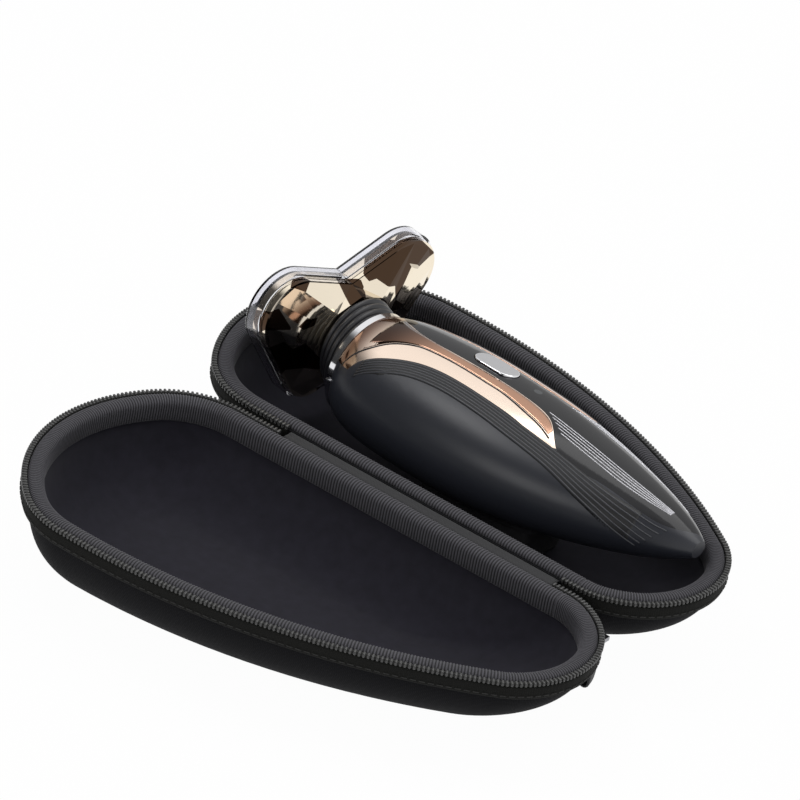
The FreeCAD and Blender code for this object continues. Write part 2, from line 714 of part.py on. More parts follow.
def gear_plate():
    """Plate over the gears, with a bearing hole for each axle."""
    plate = wing_plate(-2.5, GEAR_PLATE[0], GEAR_PLATE[1])
    axles = [NECK_AT]
    for _, toward, place, _, _, idler_teeth in gear_trains():
        axles.append(place)
        if idler_teeth:
            axles.append(idler_spot(toward, idler_teeth))
    for x, y in axles:
        plate = plate.cut(cylinder(AXLE + FIT, 0, 40, x, y))
    return plate


def axle(x, y, top):
    return cylinder(AXLE, GEARS[1] - 0.1, top, x, y)


def drive_pinion():
    """Centre gear with a stub that reaches down into the drive shaft's cup."""
    x, y = NECK_AT
    wheel = gear(PINION_TEETH, 0.0, x, y).fuse(axle(x, y, GEAR_PLATE[1]))
    return wheel.fuse(cylinder(0.9, FLEX_AT - 1.0, GEARS[0] + 0.1, x, y)).removeSplitter()


def train_parts(number, toward, place, radius, teeth, idler_teeth):
    """Idler where there is one, cutter gear and cutter of one train."""
    parts = {}
    driver_teeth, driver_phase = PINION_TEETH, 0.0
    if idler_teeth:
        x, y = idler_spot(toward, idler_teeth)
        phase = mesh_phase(radians(toward), driver_phase, driver_teeth, idler_teeth)
        idler = gear(idler_teeth, phase, x, y).fuse(axle(x, y, GEAR_PLATE[1])).removeSplitter()
        parts["idler_gear_%d" % number] = idler
        driver_teeth, driver_phase = idler_teeth, phase
    x, y = place
    wheel = gear(teeth, mesh_phase(radians(toward), driver_phase, driver_teeth, teeth), x, y)
    parts["cutter_gear_%d" % number] = wheel.fuse(axle(x, y, CUTTERS[0])).removeSplitter()
    parts["cutter_%d" % number] = cutter(x, y, radius - 1.6)
    return parts


def cutter(x, y, radius):
    """Disc with a ring of twelve upright blades."""
    disc = cylinder(radius, CUTTERS[0], CUTTERS[0] + 0.6, x, y)
    ring = cylinder(radius, CUTTERS[0] + 0.6, CUTTERS[1], x, y).cut(cylinder(radius - 1.8, 0, 40, x, y))
    gaps = []
    for k in range(12):
        gap = box(radius - 2.4, radius + 1, -1.4, 1.4, CUTTERS[0] + 0.6, CUTTERS[1] + 1)
        gap.rotate(V(0, 0, 0), UP, 30 * k)
        gap.translate(V(x, y, 0))
        gaps.append(gap)
    return disc.fuse(ring.cut(Part.makeCompound(gaps))).removeSplitter()


def guard(x, y, radius):
    """Shallow metal cap over one cutter, with a ring of slots."""
    cap = cylinder(radius, HOUSING_FRONT, GUARD_TOP, x, y)
    edge = [e for e in cap.Edges if abs(e.BoundBox.ZMin - GUARD_TOP) < 1e-6]
    cap = cap.makeFillet(0.5, edge)
    cap = cap.cut(cylinder(radius - 0.8, HOUSING_FRONT - 1, CUTTERS[1] + 0.4, x, y))
    slots = []
    for k in range(18):
        slot = box(radius - 4.2, radius - 1.6, -0.3, 0.3, CUTTERS[1], GUARD_TOP + 1)
        slot.rotate(V(0, 0, 0), UP, 20 * k)
        slot.translate(V(x, y, 0))
        slots.append(slot)
    return cap.cut(Part.makeCompound(slots))


def guard_frame():
    """Front plate that holds the guards, with a round hole for each."""
    plate = wing_plate(-0.4, HOUSING_FRONT, HOUSING_FRONT + 1.4)
    for _, _, place, radius, _, _ in gear_trains():
        plate = plate.cut(cylinder(radius, 0, 40, *place))
    return plate


def head_cap():
    """Clear cap: a flat front and a skirt that slips over the edge of the housing."""
    outer = wing_plate(1.3, CAP_BACK, CAP_FRONT)
    edge = [e for e in outer.Edges if abs(e.BoundBox.ZMin - CAP_FRONT) < 1e-6]
    outer = outer.makeFillet(0.9, edge)
    return outer.cut(wing_plate(0.35, CAP_BACK - 1, CAP_FRONT - 1.0))


def head_parts():
    nodes = {"head_housing": head_housing(), "gear_plate": gear_plate(), "guard_frame": guard_frame(),
             "head_cap": head_cap(), "drive_pinion": drive_pinion()}
    for train in gear_trains():
        number, _, place, radius = train[:4]
        nodes.update(train_parts(*train))
        nodes["guard_%d" % number] = guard(place[0], place[1], radius)
    return nodes


def neck_parts():
    nodes = {"neck_collar": neck_collar(), "neck_bellows": bellows(), "neck_post": neck_post(),
             "tilt_pins": tilt_pins(), "motor": motor(), "motor_bracket": motor_bracket(),
             "drive_shaft": drive_shaft()}
    nodes.update(neck_studs())
    return nodes


def shaver_parts():
    nodes = {}
    handle = handle_parts()
    handle.update(handle_insides())
    handle["power_button"] = power_button()
    for name, shape in handle.items():
        nodes[name] = handle_place(shape)
    head = neck_parts()
    head.update(head_parts())
    for name, shape in head.items():
        nodes[name] = head_place(shape)
    return nodes


def case_parts():
    nodes = case_halves()
    nodes["hinge_panel"] = hinge_panel()
    nodes["zip_tail"] = zip_tail()
    nodes["zip_end_stops"] = zip_end_stops()
    nodes["zip_slider"] = zip_slider()
    nodes["zip_pull"] = zip_pull()
    nodes["grab_tab"] = grab_tab()
    nodes["foam_pad"] = foam_pad()
    nodes["cradle_tray"] = cradle_tray()
    return nodes


os.makedirs("parts", exist_ok=True)
parts = case_parts()
parts.update(shaver_parts())
for node, shape in parts.items():
    shape.exportStep("parts/%s.step" % node)
    kinds = "solids %d valid %s volume %.1f" % (len(shape.Solids), shape.isValid(), shape.Volume)
    print(node, kinds)
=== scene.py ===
from math import atan2, cos, hypot, pi, radians, sin, sqrt
import bmesh
import bpy
from mathutils import Matrix, Vector
from mathutils.bvhtree import BVHTree


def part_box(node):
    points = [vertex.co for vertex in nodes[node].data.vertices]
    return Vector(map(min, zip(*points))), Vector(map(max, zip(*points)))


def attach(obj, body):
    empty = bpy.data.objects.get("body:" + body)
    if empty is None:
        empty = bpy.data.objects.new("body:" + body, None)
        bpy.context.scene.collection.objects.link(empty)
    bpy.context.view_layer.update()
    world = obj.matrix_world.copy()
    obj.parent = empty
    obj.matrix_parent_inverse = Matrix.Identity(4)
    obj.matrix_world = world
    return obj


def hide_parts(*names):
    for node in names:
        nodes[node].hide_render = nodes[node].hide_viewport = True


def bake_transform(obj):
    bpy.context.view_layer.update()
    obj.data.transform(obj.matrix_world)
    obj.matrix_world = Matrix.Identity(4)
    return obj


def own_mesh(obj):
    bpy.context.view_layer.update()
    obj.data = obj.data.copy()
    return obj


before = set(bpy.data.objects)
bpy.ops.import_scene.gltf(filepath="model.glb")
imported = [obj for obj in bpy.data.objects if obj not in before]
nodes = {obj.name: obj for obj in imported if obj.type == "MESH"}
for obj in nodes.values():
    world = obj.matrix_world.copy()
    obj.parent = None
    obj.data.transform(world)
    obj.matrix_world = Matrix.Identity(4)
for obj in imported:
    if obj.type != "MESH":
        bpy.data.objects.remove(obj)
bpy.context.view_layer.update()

# Studio. The open case lies on a white table under broad soft lamps, in front of a white backdrop,
# and is seen from above its lid side through a long lens that stands slightly turned.
studio = bpy.context.scene
studio.view_settings.view_transform = "Standard"
AIM = Vector((0.029779, -0.011454, 0.036))
LENS_AZIMUTH, LENS_ELEVATION, LENS_ROLL = radians(-30.996), radians(32.272), radians(11.088)
LENS_DISTANCE = 5.0
FRAME_PIXELS = 800
FOCAL_PIXELS = 14350.25
SENSOR = 36.0

forward = Vector((sin(LENS_AZIMUTH) * cos(LENS_ELEVATION), cos(LENS_AZIMUTH) * cos(LENS_ELEVATION),
                  -sin(LENS_ELEVATION)))
level = Vector((cos(LENS_AZIMUTH), -sin(LENS_AZIMUTH), 0))
upward = level.cross(forward)
right = level * cos(LENS_ROLL) + upward * sin(LENS_ROLL)
top = upward * cos(LENS_ROLL) - level * sin(LENS_ROLL)
camera = bpy.data.objects.new("camera", bpy.data.cameras.new("camera"))
studio.collection.objects.link(camera)
camera.data.sensor_width = SENSOR
camera.data.lens = FOCAL_PIXELS / FRAME_PIXELS * SENSOR
camera.data.clip_start = 0.1
camera.data.clip_end = 50.0
turn = Matrix((right, top, -forward)).transposed().to_4x4()
camera.matrix_world = Matrix.Translation(AIM - forward * LENS_DISTANCE) @ turn
studio.camera = camera


def lamp(name, place, size, power):
    light = bpy.data.lights.new(name, "AREA")
    light.shape = "RECTANGLE"
    light.size, light.size_y = size
    light.energy = power
    holder = bpy.data.objects.new(name, light)
    studio.collection.objects.link(holder)
    place = Vector(place)
    holder.matrix_world = Matrix.Translation(place) @ (place - AIM).to_track_quat("Z", "Y").to_matrix().to_4x4()


lamp("overhead_lamp", (0.25, 0.45, 0.95), (1.1, 0.6), 3.4)
lamp("front_lamp", (-0.15, -1.15, 0.75), (0.5, 0.5), 2.2)
lamp("patch_lamp", (-0.37, -0.17, 0.95), (0.3, 0.22), 1.6)


def seen_directly(tree):
    """A factor that is 1 where the camera, a mirror or clear plastic looks straight at a surface."""
    path = tree.nodes.new("ShaderNodeLightPath")
    total = None
    for ray in ("Is Camera Ray", "Is Glossy Ray", "Is Transmission Ray"):
        if total is None:
            total = path.outputs[ray]
            continue
        add = tree.nodes.new("ShaderNodeMath")
        add.operation = "MAXIMUM"
        tree.links.new(total, add.inputs[0])
        tree.links.new(path.outputs[ray], add.inputs[1])
        total = add.outputs[0]
    return total


world = bpy.data.worlds.new("studio")
world.use_nodes = True
studio.world = world
air = world.node_tree
fill = air.nodes["Background"]
fill.inputs["Color"].default_value = (1.0, 1.0, 1.0, 1.0)
fill.inputs["Strength"].default_value = 0.5


def ramped(tree, value, low, high, start, end):
    """Value carried from the range low to high onto start to end, smoothly and without overshoot."""
    node = tree.nodes.new("ShaderNodeMapRange")
    node.interpolation_type = "SMOOTHSTEP"
    for socket, number in zip(("From Min", "From Max", "To Min", "To Max"), (low, high, start, end)):
        node.inputs[socket].default_value = number
    tree.links.new(value, node.inputs["Value"])
    return node.outputs["Result"]


def joined(tree, operation, a, b):
    node = tree.nodes.new("ShaderNodeMath")
    node.operation = operation
    tree.links.new(a, node.inputs[0])
    tree.links.new(b, node.inputs[1])
    return node.outputs[0]


# In mirrors the room is dim, but for one broad soft box overhead and behind the case and one to its right.
toward = air.nodes.new("ShaderNodeTexCoord")
parts = air.nodes.new("ShaderNodeSeparateXYZ")
air.links.new(toward.outputs["Generated"], parts.inputs[0])
overhead = joined(air, "MULTIPLY", ramped(air, parts.outputs["Z"], 0.05, 0.8, 0.55, 1.0),
                  ramped(air, parts.outputs["Y"], -0.3, 0.12, 0.08, 1.0))
box = joined(air, "MAXIMUM", overhead, ramped(air, parts.outputs["X"], 0.15, 0.5, 0.0, 0.9))
mirrored_room = air.nodes.new("ShaderNodeBackground")
air.links.new(box, mirrored_room.inputs["Strength"])
backdrop = air.nodes.new("ShaderNodeBackground")
backdrop.inputs["Color"].default_value = (1.0, 1.0, 1.0, 1.0)
backdrop.inputs["Strength"].default_value = 1.0
mirrored_room.inputs["Color"].default_value = (1.0, 1.0, 1.0, 1.0)
path = air.nodes.new("ShaderNodeLightPath")
in_mirror = air.nodes.new("ShaderNodeMixShader")
air.links.new(path.outputs["Is Glossy Ray"], in_mirror.inputs[0])
air.links.new(backdrop.outputs[0], in_mirror.inputs[1])
air.links.new(mirrored_room.outputs[0], in_mirror.inputs[2])
either = air.nodes.new("ShaderNodeMixShader")
air.links.new(seen_directly(air), either.inputs[0])
air.links.new(fill.outputs[0], either.inputs[1])
air.links.new(in_mirror.outputs[0], either.inputs[2])
air.links.new(either.outputs[0], air.nodes["World Output"].inputs["Surface"])


def piece(name, verts, faces, material, smooth=True):
    """A closed mesh with its faces turned outward and one material."""
    mesh = bpy.data.meshes.new(name)
    mesh.from_pydata(verts, [], faces)
    form = bmesh.new()
    form.from_mesh(mesh)
    bmesh.ops.recalc_face_normals(form, faces=form.faces)
    form.to_mesh(mesh)
    form.free()
    for face in mesh.polygons:
        face.use_smooth = smooth
    mesh.materials.append(material)
    made = bpy.data.objects.new(name, mesh)
    studio.collection.objects.link(made)
    return made


table_white = bpy.data.materials.new("table_white")
table_white.use_nodes = True
paint = table_white.node_tree
plain = paint.nodes["Principled BSDF"]
plain.inputs["Base Color"].default_value = (0.9, 0.9, 0.9, 1.0)
plain.inputs["Roughness"].default_value = 0.9
plain.inputs["Specular IOR Level"].default_value = 0.1
glow = paint.nodes.new("ShaderNodeEmission")
glow.inputs["Strength"].default_value = 1.0
whiter = paint.nodes.new("ShaderNodeMixShader")
share = paint.nodes.new("ShaderNodeMath")
share.operation = "MULTIPLY"
share.inputs[1].default_value = 0.975
paint.links.new(seen_directly(paint), share.inputs[0])
paint.links.new(share.outputs[0], whiter.inputs[0])
paint.links.new(plain.outputs[0], whiter.inputs[1])
paint.links.new(glow.outputs[0], whiter.inputs[2])
paint.links.new(whiter.outputs[0], paint.nodes["Material Output"].inputs["Surface"])
REACH = 6.0
table = piece("table", [(-REACH, -REACH, -0.0003), (REACH, -REACH, -0.0003), (REACH, REACH, -0.0003),
                        (-REACH, REACH, -0.0003)], [(0, 1, 2, 3)], table_white)

# Moulded shells. Each half is a thin shell pressed from foam sheet with black knitted nylon bonded to it.
# The cloth is fine and dull, and shows only a faint weave and small changes of tone.


def finish(name, colour, rough, tone=0.25, grain=500.0, relief=0.0, spread=0.05, **plainly):
    """Material whose tone, gloss and relief vary with fine noise; other sockets are set as they are given."""
    made = bpy.data.materials.new(name)
    made.use_nodes = True
    tree = made.node_tree
    shader = tree.nodes["Principled BSDF"]
    place = tree.nodes.new("ShaderNodeTexCoord")
    fine = tree.nodes.new("ShaderNodeTexNoise")
    fine.inputs["Scale"].default_value = grain
    fine.inputs["Detail"].default_value = 4.0
    tree.links.new(place.outputs["Object"], fine.inputs["Vector"])
    shade = tree.nodes.new("ShaderNodeMix")
    shade.data_type = "RGBA"
    shade.inputs[6].default_value = [c * (1 - tone) for c in colour] + [1.0]
    shade.inputs[7].default_value = [min(1.0, c * (1 + tone)) for c in colour] + [1.0]
    tree.links.new(fine.outputs["Fac"], shade.inputs[0])
    tree.links.new(shade.outputs[2], shader.inputs["Base Color"])
    gloss = tree.nodes.new("ShaderNodeMapRange")
    gloss.inputs["To Min"].default_value = max(0.02, rough - spread)
    gloss.inputs["To Max"].default_value = min(1.0, rough + spread)
    tree.links.new(fine.outputs["Fac"], gloss.inputs["Value"])
    tree.links.new(gloss.outputs["Result"], shader.inputs["Roughness"])
    if relief:
        bump = tree.nodes.new("ShaderNodeBump")
        bump.inputs["Distance"].default_value = relief
        tree.links.new(fine.outputs["Fac"], bump.inputs["Height"])
        tree.links.new(bump.outputs["Normal"], shader.inputs["Normal"])
    for socket, value in plainly.items():
        shader.inputs[socket.replace("_", " ")].default_value = value
    return made


def woven(material, pitch, relief, contrast):
    """Adds a plain weave of two crossed sets of threads to a material made by finish."""
    tree = material.node_tree
    shader = tree.nodes["Principled BSDF"]
    place = tree.nodes["Texture Coordinate"]
    heights = []
    for direction in ("DIAGONAL", "X"):
        threads = tree.nodes.new("ShaderNodeTexWave")
        threads.bands_direction = direction
        threads.inputs["Scale"].default_value = pi / (10.0 * pitch)
        threads.inputs["Distortion"].default_value = 0.6
        threads.inputs["Detail Scale"].default_value = 2.0
        tree.links.new(place.outputs["Object"], threads.inputs["Vector"])
        heights.append(threads.outputs["Fac"])
    crossed = tree.nodes.new("ShaderNodeMath")
    crossed.operation = "MULTIPLY"
    tree.links.new(heights[0], crossed.inputs[0])
    tree.links.new(heights[1], crossed.inputs[1])
    bump = tree.nodes.new("ShaderNodeBump")
    bump.inputs["Distance"].default_value = relief
    tree.links.new(crossed.outputs[0], bump.inputs["Height"])
    tree.links.new(bump.outputs["Normal"], shader.inputs["Normal"])
    darker = tree.nodes.new("ShaderNodeMix")
    darker.data_type = "RGBA"
    darker.blend_type = "MULTIPLY"
    darker.inputs[0].default_value = contrast
    tree.links.new(tree.nodes["Mix"].outputs[2], darker.inputs[6])
    tree.links.new(crossed.outputs[0], darker.inputs[7])
    tree.links.new(darker.outputs[2], shader.inputs["Base Color"])
    return material


def paint_node(name, material):
    """Gives a solid of the frame its finish."""
    slots = nodes[name].data.materials
    for index in range(len(slots)):
        slots[index] = material
    if not len(slots):
        slots.append(material)
    painted.add(name)


painted = set()
shell_cloth = woven(finish("shell_cloth", (0.0108, 0.0108, 0.0128), 0.85, tone=0.3, grain=90.0, Sheen_Weight=0.02,
                           Specular_IOR_Level=0.1),
                    0.0006, 0.00008, 0.5)
for half in ("base", "lid"):
    paint_node(half + "_shell", shell_cloth)

# Lining. A short-napped black knit, laminated to the inside of each shell before it is pressed.
# It follows the shell from behind the rim's turned-in edge down to the flat floor.
RIM_Z = 0.036
HINGE_Y = -0.0575
RIM_CORNERS = ((0.140, -0.030, 0.026), (0.143, -0.012, 0.026), (0.003, 0.022, 0.034), (-0.003, -0.022, 0.034))
RIM_ARCS = (0.037, 0.255, 0.068)
FLOOR_CORNERS = ((0.084, -0.023, 0.008), (0.085, -0.011, 0.008), (0.006, 0.009, 0.013), (0.004, -0.011, 0.013))
FLOOR_ARCS = (0.018, 0.200, 0.034)
WALL_INSET = 0.0035
FLANGE_DROP = 0.007
ARC_STEPS = (14, 20, 12, 60, 26, 44, 20)
SIDE_STEPS = 70


def between(a, b):
    dx, dy = b[0] - a[0], b[1] - a[1]
    size = hypot(dx, dy)
    return dx / size, dy / size


def touching(a, b, radius):
    """Circle of a radius that encloses and touches circles a and b, centred to the left of a to b."""
    ra, rb = radius - a[2], radius - b[2]
    gap = hypot(b[0] - a[0], b[1] - a[1])
    along = (ra * ra - rb * rb + gap * gap) / (2 * gap)
    side = sqrt(ra * ra - along * along)
    ux, uy = between(a, b)
    return a[0] + ux * along - uy * side, a[1] + uy * along + ux * side, radius


def plan(corners, arcs, inset=0.0):
    """Points of the teardrop plan with their outward directions, anticlockwise from the near wide end."""
    near_tip, far_tip, far_wide, near_wide = [(x, y, r - inset) for x, y, r in corners]
    tip = touching(near_tip, far_tip, arcs[0] - inset)
    far = touching(far_tip, far_wide, arcs[1] - inset)
    wide = touching(far_wide, near_wide, arcs[2] - inset)
    dx, dy = between(near_wide, near_tip)
    gap = hypot(near_tip[0] - near_wide[0], near_tip[1] - near_wide[1])
    c = (near_wide[2] - near_tip[2]) / gap
    s = sqrt(1 - c * c)
    straight = (dx * c + dy * s, dy * c - dx * s)
    chain = (near_tip, tip, far_tip, far, far_wide, wide, near_wide)
    turns = [straight]
    for a, b in zip(chain, chain[1:]):
        turns.append(between(b, a) if b[2] > a[2] else between(a, b))
    turns.append(straight)
    points = []
    for circle, start, end, steps in zip(chain, turns, turns[1:], ARC_STEPS):
        a, b = atan2(start[1], start[0]), atan2(end[1], end[0])
        while b < a:
            b += 2 * pi
        for k in range(steps):
            t = a + (b - a) * k / steps
            points.append((circle[0] + circle[2] * cos(t), circle[1] + circle[2] * sin(t), cos(t), sin(t)))
    a = (near_wide[0] + near_wide[2] * straight[0], near_wide[1] + near_wide[2] * straight[1])
    b = (near_tip[0] + near_tip[2] * straight[0], near_tip[1] + near_tip[2] * straight[1])
    for k in range(SIDE_STEPS):
        t = k / SIDE_STEPS
        points.append((a[0] + (b[0] - a[0]) * t, a[1] + (b[1] - a[1]) * t, straight[0], straight[1]))
    return points


def mirrored(verts):
    return [(x, 2 * HINGE_Y - y, z) for x, y, z in verts]


def both_halves(name, verts, faces, material, node):
    """The same piece on the base and, mirrored across the hinge, on the lid."""
    made = []
    for half in ("base", "lid"):
        placed = verts if half == "base" else mirrored(verts)
        item = piece(half + "_" + name, placed, faces, material)
        if node:
            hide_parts(half + "_" + node)
        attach(item, half)
        made.append(item)
    return made


def ring_faces(rows, count, close_rows=False):
    faces = []
    last = rows if close_rows else rows - 1
    for r in range(last):
        for k in range(count):
            a, b = r * count + k, r * count + (k + 1) % count
            c, d = ((r + 1) % rows) * count + (k + 1) % count, ((r + 1) % rows) * count + k
            faces.append((a, b, c, d))
    return faces


def hull_rows(skin, levels):
    verts = []
    depth = RIM_Z - skin - FLANGE_DROP
    for down in levels:
        e = 1 - sqrt(1 - down * down)
        corners = []
        for rim, floor in zip(RIM_CORNERS, FLOOR_CORNERS):
            start = (rim[0], rim[1], rim[2] - WALL_INSET)
            corners.append([a + (b - a) * e for a, b in zip(start, floor)])
        arcs = [a - WALL_INSET + (b - a + WALL_INSET) * e for a, b in zip(RIM_ARCS, FLOOR_ARCS)]
        verts += [(x, y, RIM_Z - FLANGE_DROP - depth * down) for x, y, _, _ in plan(corners, arcs, skin)]
    return verts


LINING_LEVELS = (0.0, 0.15, 0.3, 0.43, 0.55, 0.66, 0.75, 0.82, 0.88, 0.925, 0.96, 0.985, 0.998)
around = sum(ARC_STEPS) + SIDE_STEPS
outer = hull_rows(0.00245, LINING_LEVELS)
inner = hull_rows(0.0032, LINING_LEVELS)
lining_verts = outer + inner
rows = len(LINING_LEVELS)
lining_faces = ring_faces(rows, around)
lining_faces += [tuple(rows * around + v for v in face) for face in ring_faces(rows, around)]
lining_faces += [(k, (k + 1) % around, rows * around + (k + 1) % around, rows * around + k) for k in range(around)]
lining_faces.append(tuple((rows - 1) * around + k for k in range(around)))
lining_faces.append(tuple((2 * rows - 1) * around + k for k in range(around)))
lining_nap = finish("lining_nap", (0.0185, 0.0175, 0.0255), 0.95, tone=0.35, grain=240.0, relief=0.0001,
                    Sheen_Weight=0.12, Sheen_Roughness=0.5, Specular_IOR_Level=0.2)
both_halves("lining_skin", lining_verts, lining_faces, lining_nap, "lining")

# Rim roll. A padded roll of grosgrain ribbon, sewn round the flange with its ribs across the edge
# and turned down inside, where it hides the cut edge of the lining.
RIB_PITCH = 0.00115
RIB_HEIGHT = 0.00016
ROLL_PROFILE = ((2.5, 2.6, 0.3), (2.45, 2.0, 1), (2.7, 1.35, 1), (3.3, 0.8, 1), (4.2, 0.5, 1), (5.3, 0.42, 1),
                (6.4, 0.6, 1), (7.3, 1.05, 1), (7.9, 1.7, 1), (8.2, 2.6, 1), (8.3, 4.0, 1), (8.3, 6.0, 1),
                (8.2, 8.4, 0.8), (7.7, 8.9, 0), (7.0, 8.5, 0), (6.9, 2.9, 0))
rim = plan(RIM_CORNERS, RIM_ARCS)


def evenly(points, pitch):
    """The closed outline again, in equal steps that are as near to the pitch as fits."""
    lengths = [0.0]
    closed = points + points[:1]
    for p, q in zip(closed, closed[1:]):
        lengths.append(lengths[-1] + hypot(q[0] - p[0], q[1] - p[1]))
    count = round(lengths[-1] / pitch)
    made = []
    at = 0
    for k in range(count):
        want = lengths[-1] * k / count
        while lengths[at + 1] < want:
            at += 1
        t = (want - lengths[at]) / (lengths[at + 1] - lengths[at])
        p, q = closed[at], closed[at + 1]
        x, y, nx, ny = [a + (b - a) * t for a, b in zip(p, q)]
        size = hypot(nx, ny)
        made.append((x, y, nx / size, ny / size))
    return made


def new_tree(name, sockets):
    """Empty geometry tree with a geometry input and output and named inputs."""
    tree = bpy.data.node_groups.new(name, "GeometryNodeTree")
    tree.interface.new_socket("Geometry", in_out="INPUT", socket_type="NodeSocketGeometry")
    for label, kind in sockets:
        tree.interface.new_socket(label, in_out="INPUT", socket_type=kind)
    tree.interface.new_socket("Geometry", in_out="OUTPUT", socket_type="NodeSocketGeometry")
    return tree, tree.nodes.new("NodeGroupInput"), tree.nodes.new("NodeGroupOutput")


def set_down(made, tree, values):
    """Runs a geometry tree on an object and leaves the result as its plain mesh."""
    step = made.modifiers.new(tree.name, "NODES")
    step.node_group = tree
    for item in tree.interface.items_tree:
        if item.in_out == "INPUT" and item.name in values:
            step[item.identifier] = values[item.name]
    view = bpy.context.evaluated_depsgraph_get()
    view.update()
    mesh = bpy.data.meshes.new_from_object(made.evaluated_get(view))
    made.modifiers.clear()
    made.data = mesh
    return made


def rib_tree():
    """Pushes a surface out and in along its normals in even ribs across the stored length."""
    tree, given, result = new_tree("ribs", (("Pitch", "NodeSocketFloat"), ("Height", "NodeSocketFloat"),
                                            ("Material", "NodeSocketMaterial")))
    link = tree.links.new
    fields = []
    for label in ("along", "ribbed"):
        field = tree.nodes.new("GeometryNodeInputNamedAttribute")
        field.data_type = "FLOAT"
        field.inputs["Name"].default_value = label
        fields.append(field.outputs["Attribute"])

    def maths(operation, a, b=None):
        node = tree.nodes.new("ShaderNodeMath")
        node.operation = operation
        for socket, value in zip(node.inputs, (a, b)):
            if isinstance(value, float):
                socket.default_value = value
            elif value is not None:
                link(value, socket)
        return node.outputs[0]

    turns = maths("DIVIDE", fields[0], given.outputs["Pitch"])
    wave = maths("SINE", maths("MULTIPLY", turns, 2 * pi))
    height = maths("MULTIPLY", maths("MULTIPLY", wave, given.outputs["Height"]), fields[1])
    push = tree.nodes.new("ShaderNodeVectorMath")
    push.operation = "SCALE"
    link(tree.nodes.new("GeometryNodeInputNormal").outputs[0], push.inputs[0])
    link(height, push.inputs["Scale"])
    move = tree.nodes.new("GeometryNodeSetPosition")
    link(given.outputs["Geometry"], move.inputs["Geometry"])
    link(push.outputs[0], move.inputs["Offset"])
    whole = tree.nodes.new("GeometryNodeRealizeInstances")
    link(move.outputs[0], whole.inputs[0])
    colour = tree.nodes.new("GeometryNodeSetMaterial")
    link(whole.outputs[0], colour.inputs["Geometry"])
    link(given.outputs["Material"], colour.inputs["Material"])
    link(colour.outputs[0], result.inputs[0])
    return tree


def swept(points, profile):
    """Closed sweep of a profile of (inset, drop) in millimetres along a closed outline."""
    verts = []
    for inset, drop in [p[:2] for p in profile]:
        for x, y, nx, ny in points:
            verts.append((x - nx * inset / 1000, y - ny * inset / 1000, RIM_Z - drop / 1000))
    return verts, ring_faces(len(profile), len(points), close_rows=True)


rib_path = evenly(rim, RIB_PITCH / 4)
rib_path = rib_path[:len(rib_path) // 4 * 4]
roll_verts, roll_faces = swept(rib_path, ROLL_PROFILE)
grosgrain = finish("grosgrain", (0.092, 0.09, 0.102), 0.8, tone=0.3, grain=1500.0, relief=0.00003,
                   Sheen_Weight=0.15, Sheen_Roughness=0.4, Specular_IOR_Level=0.3)
# Painted shade: the ribbon's colour darkens in the troughs between its ribs, in step with the ribs that the rib tree
# pushes out.
cord = grosgrain.node_tree
count_along = cord.nodes.new("ShaderNodeAttribute")
count_along.attribute_name = "along"
swing = cord.nodes.new("ShaderNodeMath")
swing.operation = "MULTIPLY"
swing.inputs[1].default_value = 2 * pi / RIB_PITCH
cord.links.new(count_along.outputs["Fac"], swing.inputs[0])
crest = cord.nodes.new("ShaderNodeMath")
crest.operation = "SINE"
cord.links.new(swing.outputs[0], crest.inputs[0])
depth = cord.nodes.new("ShaderNodeMix")
depth.data_type = "RGBA"
depth.blend_type = "MULTIPLY"
depth.inputs[0].default_value = 1.0
cord.links.new(cord.nodes["Mix"].outputs[2], depth.inputs[6])
cord.links.new(ramped(cord, crest.outputs[0], -0.8, 0.8, 0.22, 1.0), depth.inputs[7])
cord.links.new(depth.outputs[2], cord.nodes["Principled BSDF"].inputs["Base Color"])
ribs = rib_tree()
for roll in both_halves("rim_roll", roll_verts, roll_faces, grosgrain, "rim_binding"):
    count = len(rib_path)
    along = roll.data.attributes.new("along", "FLOAT", "POINT")
    along.data.foreach_set("value", [(v % count) * RIB_PITCH / 4 for v in range(len(roll_verts))])
    weight = roll.data.attributes.new("ribbed", "FLOAT", "POINT")
    weight.data.foreach_set("value", [float(ROLL_PROFILE[v // count][2]) for v in range(len(roll_verts))])
    set_down(roll, ribs, {"Pitch": RIB_PITCH, "Height": RIB_HEIGHT, "Material": grosgrain})

# Zip. A woven tape is sewn round the outside of each flange, all but along the hinge, and a nylon coil
# is stitched to its upper edge. The turns of the two coils lock together when the slider joins them.
HINGE_FROM_X, HINGE_TO_X = 0.015, 0.133
TOOTH_PITCH = 0.0016
STITCH_PITCH = 0.0031


def open_run(points):
    """The outline without its hinge stretch, as one open line from the tip end round to the wide end."""
    beside = [HINGE_FROM_X < p[0] < HINGE_TO_X and p[3] < -0.9 for p in points]
    start = max(k for k in range(len(points)) if beside[k]) + 1
    turned = [points[(start + k) % len(points)] for k in range(len(points))]
    return [p for p in turned if not (HINGE_FROM_X < p[0] < HINGE_TO_X and p[3] < -0.9)]


def open_sweep(points, profile):
    """Sweep of a closed profile along an open line, with both ends filled."""
    verts = []
    wide = len(profile)
    for x, y, nx, ny in points:
        for inset, drop in profile:
            verts.append((x - nx * inset / 1000, y - ny * inset / 1000, RIM_Z - drop / 1000))
    faces = []
    for r in range(len(points) - 1):
        for k in range(wide):
            faces.append((r * wide + k, r * wide + (k + 1) % wide, (r + 1) * wide + (k + 1) % wide,
                          (r + 1) * wide + k))
    faces.append(tuple(range(wide)))
    faces.append(tuple((len(points) - 1) * wide + k for k in range(wide)))
    return verts, faces


